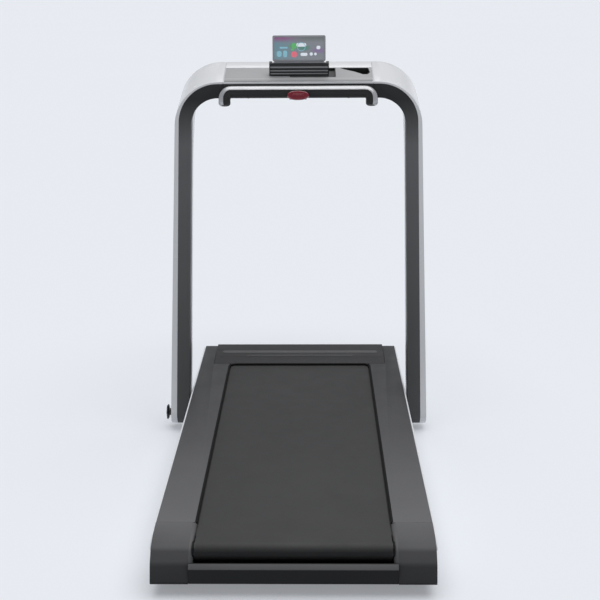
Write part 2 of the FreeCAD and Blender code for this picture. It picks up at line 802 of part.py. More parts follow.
def front_wheels():
    """Transport wheels at the front, each on an axle held by a welded fork."""
    middle = (size("frame_inner") + size("frame_outer")) / 2
    half = size("wheel_width") / 2
    radius = size("wheel_radius")
    y = size("wheel_place")
    forks = []
    for name, side in SIDES:
        centre = side * middle
        wheel = ring_of("wheel_" + name, "wheel_radius", "wheel_bore + running_gap", "wheel_width",
                        at(centre - half, y, radius, ALONG_X))
        node(wheel, "front_wheel_" + name)
        axle = cylinder("wheel_axle", "wheel_bore", "wheel_width + 4",
                        at(centre - half - 2, y, radius, ALONG_X))
        plates = [axle]
        for x in (centre - half - 3, centre + half + 1):
            plates.append(block("fork_plate", "2", "20", "frame_bottom - 12", at(x, y - 10, 12)))
        bridge = block("fork_bridge", "wheel_width + 6", "20", "3",
                       at(centre - half - 3, y - 10, size("frame_bottom") - 3))
        forks.append(joined("fork_" + name, plates + [bridge]))
    group("wheel_forks", forks)


# ---------------------------------------------------------------- arch pivot

def pivots():
    """Bracket plates and shoulder bolts that carry the arch."""
    y = size("pivot_place")
    z = size("pivot_height")
    brackets = []
    bolts = []
    for name, side in SIDES:
        x = mirrored_start(side, size("frame_outer"), size("frame_outer") + size("bracket_thickness"))
        plate = block("bracket", "bracket_thickness", "100", "70", at(x, y - 50, 20))
        hole = cylinder("bracket_bore", "pivot_radius", "bracket_thickness", at(x, y, z, ALONG_X))
        brackets.append(cut("pivot_bracket_" + name, plate, hole))
        start = mirrored_start(side, size("frame_outer"), size("bolt_end"))
        shank = cylinder("bolt_shank", "pivot_radius", "bolt_end - frame_outer",
                         at(start, y, z, ALONG_X))
        head_start = mirrored_start(side, size("bolt_end"),
                                    size("bolt_end") + size("bolt_head_length"))
        head = cylinder("bolt_head", "bolt_head_radius", "bolt_head_length",
                        at(head_start, y, z, ALONG_X))
        bolt = joined("bolt_" + name, [shank, head])
        if side < 0:
            thread = cylinder("bolt_thread", "knob_stem_radius + running_gap", "40",
                              at(head_start, y, z, ALONG_X))
            bolt = cut("threaded_bolt", bolt, thread)
        bolts.append(bolt)
    group("pivot_brackets", brackets)
    group("pivot_bolts", bolts)


def lock_knob():
    """The star knob that clamps the arch, and the washer that it pushes against the leg."""
    y = size("pivot_place")
    z = size("pivot_height")
    washer = ring_of("washer", "bush_radius", "knob_stem_radius + 2", "2",
                     at(-size("knob_start") + 0.2, y, z, ALONG_X))
    node(washer, "clamp_washer")
    knob = doc.addObject("PartDesign::Body", "knob_blank")
    corners = [("0.01", "-26"), ("knob_stem_radius", "-26"), ("knob_stem_radius", "0.01"),
               ("knob_neck_radius", "0.01"), ("knob_neck_radius", "3"),
               ("knob_radius", "5.5"), ("knob_radius", "knob_end - knob_start - 3"),
               ("knob_radius - 4", "knob_end - knob_start"),
               ("0.01", "knob_end - knob_start")]
    sketch = sketch_on(knob, "XZ_Plane", corners)
    turn = knob.newObject("PartDesign::Revolution", "Turn")
    turn.Profile = sketch
    turn.ReferenceAxis = (sketch, ["V_Axis"])
    turn.Angle = 360
    doc.recompute()
    flutes = []
    lobes = 6
    for lobe in range(lobes):
        angle = 2 * math.pi * (lobe + 0.5) / lobes
        flute = doc.addObject("Part::Cylinder", "flute")
        flute.Radius = 6
        flute.Height = 20
        reach = size("knob_radius") + 3
        flute.Placement = at(reach * math.cos(angle), reach * math.sin(angle), 1)
        flutes.append(flute)
    star = node(cut("lock_knob_star", knob, joined("flutes", flutes)), "lock_knob")
    star.Placement = at(-size("knob_start"), y, z, FreeCAD.Rotation(Vector(0, 1, 0), -90))


# ---------------------------------------------------------------- arch shells

def arch_outline(half_bottom, half_top, top, corner):
    """Front view of one face of the arch, closed below the pivots."""
    return [("-1 * ( %s )" % half_bottom, "-60"), (half_bottom, "-60"),
            (half_top, "%s - ( %s )" % (top, corner), corner),
            ("%s - ( %s )" % (half_top, corner), top),
            ("( %s ) - ( %s )" % (corner, half_top), top, corner),
            ("-1 * ( %s )" % half_top, "%s - ( %s )" % (top, corner))]


def slanted(rise):
    """A direction that goes back through the console while it climbs by the given size."""
    return Vector(0, 1, size(rise) / size("console_depth"))


def arch_ring(label, inset):
    """The whole inverted U, drawn inset from its outer faces."""
    gap = number(inset)
    face = size("leg_half_depth")
    ring = doc.addObject("PartDesign::Body", label + "_ring")
    pad(ring, "XZ_Plane",
        arch_outline("arch_half_bottom - " + inset, "arch_half_top - " + inset,
                     "arch_top - " + inset, "arch_corner - " + inset),
        "2 * console_depth", direction=slanted("console_rise"))
    pocket(ring, "XZ_Plane",
           arch_outline("arch_inner_half + " + inset, "arch_inner_half + " + inset,
                        "arch_inner_top + " + inset, "arch_inner_corner + " + inset),
           "3 * console_depth", direction=slanted("underside_rise"), name="Opening")
    ring.Placement = at(0, -face)

    side = doc.addObject("PartDesign::Body", label + "_side")
    near = "-1 * ( leg_half_depth - %s )" % inset
    leg = "leg_half_depth - " + inset
    far = "console_depth - leg_half_depth - " + inset
    pad(side, "YZ_Plane",
        [(near, near), (leg, near), (leg, "haunch_start"), (far, "haunch_end"), (far, "1200"),
         (near, "1200")], "2 * arch_half_bottom + 20", both_ways=True)
    reach = size("leg_half_depth") - gap
    round_corners(side, "YZ_Plane", [(-reach, -reach), (reach, -reach)],
                  "leg_half_depth - 0.2 - " + inset, "Foot")
    round_corners(side, "YZ_Plane", [(reach, size("haunch_start"))], "260", "Haunch")
    round_corners(side, "YZ_Plane",
                  [(size("console_depth") - size("leg_half_depth") - gap, size("haunch_end"))],
                  "30", "Brow")
    return common(label, ring, side)


def cover_zone():
    """The region on the user's side that the dark inner covers fill."""
    zone = doc.addObject("PartDesign::Body", "cover_zone")
    pad(zone, "XZ_Plane",
        arch_outline("cover_half", "cover_half", "cover_top", "cover_corner"), "cover_depth",
        direction=slanted("console_rise"))
    zone.Placement = at(0, -size("leg_half_depth"))
    return zone


def strip(label, low, high):
    """A tall slab between two X values, used to part the shells at their seams."""
    slab = doc.addObject("Part::Box", label)
    slab.Length = high - low
    slab.Width = 400
    slab.Height = 1400
    slab.Placement = at(low, -200, -100)
    return slab


def arch_shells():
    """White outer shells, dark inner covers, and the console housing between them."""
    ring = arch_ring("arch_solid", "0")
    cavity = arch_ring("arch_cavity", "shell_wall")
    zone = cover_zone()
    skin = cut("arch_skin", ring, cavity)
    white = cut("white_skin", skin, zone)
    dark = common("dark_skin", skin, zone)
    seam = size("seam_half")
    wide = size("arch_half_bottom") + 10
    bore = cylinder("pivot_bore", "bolt_head_radius + 3", "2 * arch_half_bottom + 20",
                    at(-size("arch_half_bottom") - 10, 0, 0, ALONG_X))
    for name, low, high in (("left", -wide, -seam - 0.3), ("right", seam + 0.3, wide)):
        outer = common("outer_" + name, white, strip("outer_strip_" + name, low, high))
        node(cut("outer_shell_" + name, outer, bore), "outer_shell_" + name, LEANING)
        inner = common("inner_" + name, dark, strip("inner_strip_" + name, low, high))
        node(cut("inner_cover_" + name, inner, bore), "inner_cover_" + name, LEANING)
    middle = strip("middle_strip", -seam, seam)
    window = block("panel_window", "2 * panel_half + 0.8", "panel_far - panel_near + 0.8", "30",
                   at(0, 0, 0))
    window.Placement = LEANING.inverse().multiply(CONSOLE_TOP).multiply(
        at(-size("panel_half") - 0.4, size("panel_near") - 0.4, -15))
    housing = cut("housing_cut", common("housing", white, middle), window)
    node(housing, "console_housing", LEANING)
    node(cut("rear_cover_cut", common("rear_face", dark, strip("rear_strip", -seam, seam)),
             window), "console_rear_cover", LEANING)


def arch_frame():
    """The bent steel tube inside the shells, with a forged lug and bush at each pivot."""
    half = size("frame_tube_half")
    top = size("frame_tube_top")
    bend = size("frame_tube_bend")
    start = size("lug_length")
    mid = bend * (1 - math.sqrt(0.5))
    path = Part.Wire([edge.toShape() for edge in (
        Part.LineSegment(Vector(-half, 0, start), Vector(-half, 0, top - bend)),
        Part.Arc(Vector(-half, 0, top - bend), Vector(-half + mid, 0, top - mid),
                 Vector(-half + bend, 0, top)),
        Part.LineSegment(Vector(-half + bend, 0, top), Vector(half - bend, 0, top)),
        Part.Arc(Vector(half - bend, 0, top), Vector(half - mid, 0, top - mid),
                 Vector(half, 0, top - bend)),
        Part.LineSegment(Vector(half, 0, top - bend), Vector(half, 0, start)))])
    solids = []
    for radius in (size("frame_tube_radius"), size("frame_tube_radius") - size("tube_wall")):
        circle = Part.Wire(Part.Circle(Vector(-half, 0, start), Vector(0, 0, 1),
                                       radius).toShape())
        solids.append(path.makePipeShell([circle], True, False))
    shaped("arch_frame", solids[0].cut(solids[1]), LEANING)

    lugs = []
    bushes = []
    for name, side in SIDES:
        x = side * half - size("lug_width") / 2
        round_end = cylinder("lug_end", "lug_radius", "lug_width", at(x, 0, 0, ALONG_X))
        stem = block("lug_stem", "lug_width", "2 * lug_radius", "lug_length",
                     at(x, -size("lug_radius"), 0))
        bore = cylinder("lug_bore", "bush_radius", "lug_width", at(x, 0, 0, ALONG_X))
        lugs.append(cut("pivot_lug_" + name, joined("lug_" + name, [round_end, stem]), bore))
        bushes.append(ring_of("bush_" + name, "bush_radius", "pivot_radius + running_gap",
                              "lug_width", at(x, 0, 0, ALONG_X)))
    group("pivot_lugs", lugs).Placement = LEANING
    group("pivot_bushes", bushes).Placement = LEANING


# ---------------------------------------------------------------- console

TRAY_CORNERS = [("126", "112"), ("140", "99"), ("170", "80"), ("196", "58"), ("210", "58"),
                ("218", "74"), ("214", "112")]
RECESS_CORNERS = [("-86", "111"), ("-86", "62"), ("-30", "62"), ("-25", "36"), ("113", "36"),
                  ("113", "111")]


def console_panel():
    """The grey top panel with its storage tray and the recess round the display stand."""
    panel = doc.addObject("PartDesign::Body", "panel_plate")
    corners = [("-1 * panel_half", "panel_near"), ("panel_half", "panel_near"),
               ("panel_half", "panel_far"), ("-1 * panel_half", "panel_far")]
    pad(panel, "XY_Plane", corners, "panel_thickness")
    half = size("panel_half")
    round_corners(panel, "XY_Plane",
                  [(half, size("panel_far")), (-half, size("panel_far"))], "10", "Far")
    pocket(panel, "XY_Plane", TRAY_CORNERS, "panel_thickness", name="Tray", reverse=True)
    pocket(panel, "XY_Plane", RECESS_CORNERS, "panel_thickness", name="Recess", reverse=True)
    node(panel, "console_panel", CONSOLE_TOP.multiply(at(0, 0, -2.5)))
    for label, corners, depth in (("storage_tray", TRAY_CORNERS, "tray_depth"),
                                  ("stand_tray", RECESS_CORNERS, "recess_depth")):
        insert(label, corners, depth)


def insert(label, corners, depth):
    """A thin-walled dish that hangs in a hole of the panel."""
    body = doc.addObject("PartDesign::Body", label + "_blank")
    middle = [sum(float(corner[i]) for corner in corners) / len(corners) for i in (0, 1)]
    wall = size("dish_wall")
    clear = size("dish_gap")
    outer = []
    inner = []
    for corner in corners:
        x, y = float(corner[0]), float(corner[1])
        reach = math.hypot(x - middle[0], y - middle[1])
        for outline, gap in ((outer, clear), (inner, clear + wall * 1.4)):
            share = 1 - gap / reach
            outline.append(("%.2f" % (middle[0] + (x - middle[0]) * share),
                            "%.2f" % (middle[1] + (y - middle[1]) * share)))
    pad(body, "XY_Plane", outer, depth)
    hollow = doc.addObject("PartDesign::Body", label + "_room")
    pad(hollow, "XY_Plane", inner, depth)
    hollow.Placement = at(0, 0, wall)
    node(cut(label, body, hollow), label, CONSOLE_TOP.multiply(at(0, 0, -size(depth))))


def display():
    """The flip-up display, its ribbed stand and the pin it tilts on."""
    pin_place = size("stand_near") + size("stand_depth") - 8
    pin_height = size("stand_height") - 7
    floor = 0.5
    stand = doc.addObject("PartDesign::Body", "stand_blank")
    depth = size("stand_depth")
    near = size("stand_near")
    outline = [(near, floor), (near + depth, floor), (near + depth, pin_height - 8),
               (near + depth - 15, pin_height - 8), (near + depth - 15, pin_height + 7),
               (near + 5, pin_height + 7), (near, pin_height - 4)]
    for rib in range(3):
        z = pin_height - 10 - rib * 8
        outline += [(near, z), (near + 1.6, z - 1.2), (near + 1.6, z - 3.2), (near, z - 4.4)]
    pad(stand, "YZ_Plane", [("%.2f" % y, "%.2f" % z) for y, z in outline],
        "stand_right - stand_left")
    stand.Placement = at(size("stand_left"))
    ears = []
    for x in (size("stand_left"), size("stand_right") - 8):
        ears.append(block("stand_ear", "8", "15", "15",
                          at(x, near + depth - 15.2, pin_height - 8)))
    pin_length = size("stand_right") - size("stand_left")
    bore = cylinder("stand_bore", "2.5", "stand_right - stand_left",
                    at(size("stand_left"), pin_place, pin_height, ALONG_X))
    node(cut("display_stand", joined("stand_ears", [stand] + ears), bore), "display_stand",
         CONSOLE_TOP)
    pin = cylinder("hinge_pin", "2.5", "stand_right - stand_left",
                   at(size("stand_left"), pin_place, pin_height, ALONG_X))
    node(pin, "hinge_pin").Placement = CONSOLE_TOP.multiply(pin.Placement)

    recline = FreeCAD.Rotation(Vector(1, 0, 0), -size("display_recline"))
    reclined = CONSOLE_TOP.multiply(at(0, pin_place, pin_height, recline)).multiply(
        at(0, -pin_place, -pin_height))
    low = pin_height + 9
    half = size("display_width") / 2
    middle = (size("stand_left") + size("stand_right")) / 2
    front = pin_place - size("display_thickness") / 2
    case = doc.addObject("PartDesign::Body", "case_blank")
    corners = [("-1 * display_width / 2", "0.01"), ("display_width / 2", "0.01"),
               ("display_width / 2", "display_height"), ("-1 * display_width / 2", "display_height")]
    pad(case, "XZ_Plane", corners, "display_thickness")
    round_corners(case, "XZ_Plane",
                  [(x, z) for x in (half, -half) for z in (0.01, size("display_height"))], "5",
                  "Corner")
    case.Placement = at(middle, front + size("display_thickness"), low)
    glass_room = block("glass_room", "display_width - 10", "1.5", "display_height - 10",
                       at(middle - half + 5, front, low + 5))
    knuckle_length = pin_length - 17
    knuckle = doc.addObject("Part::Cylinder", "knuckle")
    knuckle.Radius = 6
    knuckle.Height = knuckle_length
    knuckle.Placement = at(size("stand_left") + 8.5, pin_place, pin_height, ALONG_X)
    neck = doc.addObject("Part::Box", "knuckle_neck")
    neck.Length = size("display_width") - 10
    neck.Width = 6
    neck.Height = 12
    neck.Placement = at(middle - half + 5, pin_place - 3, pin_height)
    bore = cylinder("knuckle_bore", "2.5 + running_gap", "stand_right - stand_left",
                    at(size("stand_left"), pin_place, pin_height, ALONG_X))
    node(cut("display_case", joined("case_knuckle", [case, knuckle, neck]), glass_room, bore),
         "display_case", reclined)
    glass = block("glass", "display_width - 10.4", "1.4", "display_height - 10.4",
                  at(middle - half + 5.2, front + 0.1, low + 5.2))
    node(glass, "display_screen").Placement = reclined.multiply(glass.Placement)
    board = block("board_plate", "70", "40", "1.6", at(-200, 60, -22))
    chip = block("board_chip", "16", "16", "3", at(-180, 70, -20.4))
    node(joined("board_parts", [board, chip]), "console_board", CONSOLE_TOP)


# ---------------------------------------------------------------- handlebar

def bar_path():
    """The handlebar's centre line: a shallow inverted U with short drooping ends."""
    half = size("bar_half")
    high = size("bar_height")
    bend = size("bar_bend")
    drop = size("bar_drop")
    y = size("bar_offset")
    mid = bend * (1 - math.sqrt(0.5))
    return Part.Wire([edge.toShape() for edge in (
        Part.LineSegment(Vector(-half, y, high - drop), Vector(-half, y, high - bend)),
        Part.Arc(Vector(-half, y, high - bend), Vector(-half + mid, y, high - mid),
                 Vector(-half + bend, y, high)),
        Part.LineSegment(Vector(-half + bend, y, high), Vector(half - bend, y, high)),
        Part.Arc(Vector(half - bend, y, high), Vector(half - mid, y, high - mid),
                 Vector(half, y, high - bend)),
        Part.LineSegment(Vector(half, y, high - bend), Vector(half, y, high - drop)))])


def bar_section(half_angle, outside):
    """Half of the bar's skin: the strip on the outside of the bend, or all the rest."""
    centre = Vector(-size("bar_half"), size("bar_offset"), size("bar_height") - size("bar_drop"))
    inner = size("bar_core_radius")
    outer = size("bar_skin_radius")

    def point(radius, degrees):
        angle = math.radians(degrees)
        return centre + Vector(-radius * math.cos(angle), radius * math.sin(angle), 0)

    first, last = (-half_angle, half_angle) if outside else (half_angle, 360 - half_angle)
    middle = (first + last) / 2
    return Part.Wire([edge.toShape() for edge in (
        Part.Arc(point(outer, first), point(outer, middle), point(outer, last)),
        Part.LineSegment(point(outer, last), point(inner, last)),
        Part.Arc(point(inner, last), point(inner, middle), point(inner, first)),
        Part.LineSegment(point(inner, first), point(outer, first)))])


def swept(wire):
    """A closed section swept along the handlebar."""
    shell = Part.BRepOffsetAPI.MakePipeShell(bar_path())
    shell.setBiNormalMode(Vector(0, 1, 0))
    shell.add(wire)
    shell.build()
    shell.makeSolid()
    return shell.shape()


def handlebar():
    """The bright bar with its dark grip, two stand-offs, and the safety key on its front."""
    start = bar_path().Vertexes[0].Point
    core = swept(Part.Wire(Part.Circle(start, Vector(0, 0, 1),
                                       size("bar_core_radius")).toShape()))
    bright_angle = size("bar_bright_angle")
    bright = core.fuse(swept(bar_section(bright_angle, True)))
    y = size("bar_offset")
    high = size("bar_height")
    for side in (-1, 1):
        post = Part.makeCylinder(size("post_radius"), -size("leg_half_depth") - y,
                                 Vector(side * size("post_place"), y, high), Vector(0, 1, 0))
        bright = bright.fuse(post)
    shaped("handlebar", bright.removeSplitter(), LEANING)
    grip = swept(bar_section(bright_angle, False))
    for side in (-1, 1):
        grip = grip.cut(Part.makeCylinder(size("post_radius"), 40,
                                          Vector(side * size("post_place"), y, high),
                                          Vector(0, 1, 0)))
    front = y - size("bar_skin_radius")
    low = high - size("key_low")
    shoe = Part.makeBox(size("key_width") - 14, 10, size("key_height") - 9,
                        Vector(-size("key_width") / 2 + 7, front - 3, low - 9))
    grip_blank = Part.makeCylinder(size("bar_skin_radius"), 80, Vector(-40, y, high),
                                   Vector(1, 0, 0))
    shaped("handlebar_grip", grip, LEANING)
    shaped("safety_socket", shoe.cut(grip_blank), LEANING)

    key = doc.addObject("PartDesign::Body", "safety_key")
    corners = [("-1 * key_width / 2", "-1 * key_height / 2"),
               ("key_width / 2", "-1 * key_height / 2"),
               ("key_width / 2", "key_height / 2"), ("-1 * key_width / 2", "key_height / 2")]
    pad(key, "XZ_Plane", corners, "key_depth")
    wide, tall = size("key_width") / 2, size("key_height") / 2
    round_corners(key, "XZ_Plane", [(x, z) for x in (wide, -wide) for z in (tall, -tall)],
                  "key_height / 2 - 0.2", "Oval")
    dress(key, "Fillet", lambda edge: all(abs(v.Y + size("key_depth")) < 0.01
                                          for v in edge.Vertexes), "3", "Soft")
    node(key, "safety_key", LEANING.multiply(at(0, front - 3.2, low)))


# ---------------------------------------------------------------- build and write

side_rails()
cross_members()
deck_board()
running_belt()
roller("front")
roller("rear")
tension_bolts()
drive()
motor_bracket()
electronics()
motor_hood()
foot_rails()
side_shells()
rear_caps()
rear_cover()
belly_pan()
rear_feet()
front_wheels()
pivots()
lock_knob()
arch_shells()
arch_frame()
console_panel()
display()
handlebar()
doc.recompute()

for thing in doc.Objects:
    if "Invalid" in thing.State or "Error" in thing.State:
        raise RuntimeError("%s failed to build" % thing.Label)
for thing in NODES:
    shape = thing.Shape
    if shape.isNull() or not shape.isValid() or not shape.Solids:
        raise RuntimeError("%s has no valid solid" % thing.Label)
for thing in NODES:
    thing.Shape.exportStep("parts/%s.step" % thing.Label)
print("%d nodes written" % len(NODES))
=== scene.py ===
"""Looks for a fold-flat treadmill with a tall arch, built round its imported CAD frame."""
import json
import math

import bmesh
import bpy
from mathutils import Matrix, Vector
from mathutils.bvhtree import BVHTree


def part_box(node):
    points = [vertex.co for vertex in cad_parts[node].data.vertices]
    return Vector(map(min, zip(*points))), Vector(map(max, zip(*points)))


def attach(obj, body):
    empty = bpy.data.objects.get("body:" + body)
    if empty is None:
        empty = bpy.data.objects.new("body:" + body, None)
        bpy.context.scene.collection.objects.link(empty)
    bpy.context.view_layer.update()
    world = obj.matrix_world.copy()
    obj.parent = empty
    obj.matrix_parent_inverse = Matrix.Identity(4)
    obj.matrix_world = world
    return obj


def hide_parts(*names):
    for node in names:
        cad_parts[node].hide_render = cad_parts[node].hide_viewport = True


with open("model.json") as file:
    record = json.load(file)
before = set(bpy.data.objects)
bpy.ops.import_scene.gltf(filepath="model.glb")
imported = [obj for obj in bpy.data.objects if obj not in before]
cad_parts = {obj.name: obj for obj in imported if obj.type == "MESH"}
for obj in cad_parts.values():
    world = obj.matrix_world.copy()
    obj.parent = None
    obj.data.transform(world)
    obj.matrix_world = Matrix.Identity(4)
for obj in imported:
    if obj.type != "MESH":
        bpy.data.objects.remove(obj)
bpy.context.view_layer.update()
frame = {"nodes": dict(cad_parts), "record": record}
BEHAVIOUR = frame["record"]["behaviour"]
BODY_OF = {n: body for body, names in BEHAVIOUR["bodies"].items() for n in names}
JOINTS = {joint["name"]: joint for joint in BEHAVIOUR["joints"]}
MM = 0.001
LEAN = math.radians(20.7)
PIVOT = Vector(JOINTS["arch_fold"]["pos_m"])
ABOVE_DECK = 0.3
DOWN = Vector((0, 0, -1))
SIDES = (("left", -1), ("right", 1))


# ---------------------------------------------------------------- materials

def linear(red, green, blue):
    """A screen colour, each channel from 0 to 255, as linear light."""
    channels = []
    for value in (red, green, blue):
        share = value / 255
        channels.append(share / 12.92 if share <= 0.04045 else ((share + 0.055) / 1.055) ** 2.4)
    return (*channels, 1.0)


class Finish:
    """A node material: each method adds one kind of detail to its colour, roughness or relief."""

    def __init__(self, name, colour, roughness, metallic=0.0, **constants):
        self.material = bpy.data.materials.new(name)
        self.material.use_nodes = True
        self.tree = self.material.node_tree
        self.tree.nodes.clear()
        output = self.add("ShaderNodeOutputMaterial")
        self.shader = self.add("ShaderNodeBsdfPrincipled")
        self.link(self.shader.outputs["BSDF"], output.inputs["Surface"])
        self.shader.inputs["Base Color"].default_value = colour
        self.shader.inputs["Roughness"].default_value = roughness
        self.shader.inputs["Metallic"].default_value = metallic
        for key, value in constants.items():
            self.shader.inputs[key.replace("_", " ")].default_value = value
        coordinates = self.add("ShaderNodeTexCoord")
        self.place = coordinates.outputs["Object"]
        self.normal = coordinates.outputs["Normal"]
        self.paint = colour
        self.roughness = roughness

    def add(self, kind):
        return self.tree.nodes.new(kind)

    def link(self, source, target):
        self.tree.links.new(source, target)

    def put(self, value, socket):
        """Links a socket, or sets a plain value."""
        if isinstance(value, (int, float, tuple)):
            socket.default_value = value
        else:
            self.link(value, socket)

    def part(self, vector, axis):
        split = self.add("ShaderNodeSeparateXYZ")
        self.link(vector, split.inputs[0])
        return split.outputs[axis]

    def math(self, operation, first, second=0.0):
        node = self.add("ShaderNodeMath")
        node.operation = operation
        self.put(first, node.inputs[0])
        self.put(second, node.inputs[1])
        return node.outputs[0]

    def scaled(self, size, stretch):
        mapping = self.add("ShaderNodeMapping")
        mapping.inputs["Scale"].default_value = [s / size for s in stretch]
        self.link(self.place, mapping.inputs["Vector"])
        return mapping.outputs[0]

    def noise(self, size, detail=2.0, stretch=(1, 1, 1)):
        node = self.add("ShaderNodeTexNoise")
        node.inputs["Scale"].default_value = 1.0
        node.inputs["Detail"].default_value = detail
        self.link(self.scaled(size, stretch), node.inputs["Vector"])
        return node.outputs["Fac"]

    def cells(self, size, stretch=(1, 1, 1)):
        node = self.add("ShaderNodeTexVoronoi")
        node.inputs["Scale"].default_value = 1.0
        self.link(self.scaled(size, stretch), node.inputs["Vector"])
        return node.outputs["Distance"]

    def stripes(self, axis, pitch):
        """A value that swings from 0 to 1 and back once per pitch."""
        turn = self.math("MULTIPLY", self.part(self.place, axis), 2 * math.pi / pitch)
        return self.ramp(self.math("SINE", turn), -1.0, 1.0)

    def ramp(self, value, low, high, out_low=0.0, out_high=1.0):
        node = self.add("ShaderNodeMapRange")
        node.inputs["From Min"].default_value = low
        node.inputs["From Max"].default_value = high
        node.inputs["To Min"].default_value = out_low
        node.inputs["To Max"].default_value = out_high
        self.link(value, node.inputs["Value"])
        return node.outputs["Result"]

    def mix(self, share, first, second, blend="MIX"):
        node = self.add("ShaderNodeMix")
        node.data_type = "RGBA"
        node.blend_type = blend
        self.put(share, [s for s in node.inputs if s.name == "Factor" and s.type == "VALUE"][0])
        self.put(first, [s for s in node.inputs if s.name == "A" and s.type == "RGBA"][0])
        self.put(second, [s for s in node.inputs if s.name == "B" and s.type == "RGBA"][0])
        return [s for s in node.outputs if s.type == "RGBA"][0]

    def coat(self, paint):
        self.paint = paint
        self.link(paint, self.shader.inputs["Base Color"])
        return self

    def dim(self, factor):
        """Multiplies the colour by a value."""
        return self.coat(self.mix(1.0, self.paint, factor, "MULTIPLY"))

    def over(self, share, colour):
        """Covers the colour with another one where the share is 1."""
        return self.coat(self.mix(share, self.paint, colour))

    def tint(self, size, amount, detail=3.0, stretch=(1, 1, 1)):
        """Uneven colour: lighter and darker patches of that size."""
        return self.dim(self.ramp(self.noise(size, detail, stretch), 0.3, 0.7,
                                  1 - amount, 1 + amount))

    def facing(self, low, high, out_low, out_high, axis="Z"):
        """Painted light and shade: colour by how far the surface faces along an axis, matched to
        the photograph.
        """
        return self.dim(self.ramp(self.part(self.normal, axis), low, high, out_low, out_high))

    def along(self, axis, start, end, out_start, out_end):
        """Colour that changes evenly along the object, used here only as painted light and shade.
        """
        return self.dim(self.ramp(self.part(self.place, axis), start, end, out_start, out_end))

    def wear(self, size, amount, detail=3.0, stretch=(1, 1, 1)):
        """Uneven gloss: rougher and smoother patches of that size."""
        share = self.ramp(self.noise(size, detail, stretch), 0.3, 0.7,
                          self.roughness - amount, self.roughness + amount)
        self.link(share, self.shader.inputs["Roughness"])
        return self

    def relief(self, height, distance):
        """Fine relief from a height between 0 and 1, that deep in metres."""
        bump = self.add("ShaderNodeBump")
        bump.inputs["Distance"].default_value = distance
        bump.inputs["Strength"].default_value = 1.0
        self.link(height, bump.inputs["Height"])
        normal = self.shader.inputs["Normal"]
        if normal.is_linked:
            self.link(normal.links[0].from_socket, bump.inputs["Normal"])
        self.link(bump.outputs["Normal"], normal)
        return self


def grained(name, colour, roughness, grain=0.9 * MM, depth=0.05 * MM, tint=0.05, **constants):
    """Moulded plastic with a spark-eroded grain."""
    finish = Finish(name, colour, roughness, **constants)
    finish.tint(0.16, tint)
    finish.wear(0.09, 0.05)
    finish.relief(finish.noise(grain, 3.0), depth)
    return finish


def glossy(name, colour, roughness, **constants):
    """Painted or moulded skin with only a faint waviness."""
    return grained(name, colour, roughness, 3 * MM, 0.002 * MM, 0.006, **constants)


def brushed(name, colour, roughness, stretch, metallic=1.0):
    """Metal with fine lines along one axis."""
    finish = Finish(name, colour, roughness, metallic)
    lines = finish.noise(0.4 * MM, 2.0, stretch)
    finish.dim(finish.ramp(lines, 0.3, 0.7, 0.94, 1.06))
    finish.wear(0.03, 0.06)
    finish.relief(lines, 0.01 * MM)
    return finish


def deck_plastic(name, colour, shade, gloss=0.35):
    """Black textured deck moulding with painted shade: paler on upward faces and darker on faces
    turned away from the top, as the photograph shows it.
    """
    finish = grained(name, colour, 0.46, Specular_IOR_Level=gloss)
    # painted shade: faces turned away from the top darken down to the shade factor
    finish.facing(0.1, 0.85, shade, 1.0)
    return finish


def rail_plastic():
    """The rails' plastic with painted light: paler towards the rear, as the photograph shows it.
    """
    finish = deck_plastic("deck_cover", linear(47, 47, 48), 0.18)
    # painted light: the rails' colour multiplied up towards the rear
    finish.along("Y", -0.6, 0.5, 3.9, 0.8)
    return finish


def belt_rubber():
    """Woven black belt with painted shade: darker where it turns down over the roller."""
    finish = Finish("belt_rubber", linear(58, 58, 58), 0.62, Specular_IOR_Level=0.3)
    finish.tint(0.10, 0.05)
    finish.tint(1.6 * MM, 0.10, 1.0)
    # painted shade: darker on faces turned away from the top, where the belt rolls down over the
    # roller
    finish.facing(0.35, 0.97, 0.16, 1.0)
    finish.wear(0.05, 0.05)
    weave = finish.math("MULTIPLY", finish.stripes("X", 1.8 * MM), finish.stripes("Y", 1.8 * MM))
    finish.relief(weave, 0.06 * MM)
    return finish


def arch_plastic():
    """Dark inner covers of the arch with painted shade: darker towards the foot of the legs, much
    darker in the top corner under the console, and darker on faces turned sideways, which leaves
    the legs' broad faces palest.
    """
    finish = grained("arch_dark", linear(96, 97, 98), 0.45, Specular_IOR_Level=0.3)
    # painted shade: darker towards the foot of the legs and in the top corner under the console
    finish.along("Z", 0.05, 0.9, 0.50, 1.0)
    finish.along("Z", 0.80, 0.93, 1.0, 0.17)
    # painted shade on the faces turned sideways
    side = finish.math("ABSOLUTE", finish.part(finish.normal, "X"))
    finish.dim(finish.ramp(side, 0.35, 0.9, 1.0, 0.42))
    return finish


def arch_shell():
    """White outer skin of the arch with painted shade: a little greyer on the faces towards the
    user.
    """
    finish = glossy("arch_white", linear(228, 229, 231), 0.24)
    # painted shade on the faces turned towards the user
    finish.facing(-0.9, -0.5, 0.80, 1.0, "Y")
    return finish


def roller_steel():
    """Turned steel, black and not metallic past the belt's edge as painted shade for the gap
    beside the belt.
    """
    finish = brushed("roller_steel", linear(170, 171, 174), 0.28, (1, 0.05, 0.05))
    end = finish.math("ABSOLUTE", finish.part(finish.place, "X"))
    share = finish.ramp(end, 214 * MM, 214.5 * MM)
    # painted shade: the bare roller ends beside the belt made black
    finish.over(share, linear(22, 22, 23))
    finish.link(finish.ramp(share, 0.0, 1.0, 1.0, 0.0), finish.shader.inputs["Metallic"])
    return finish


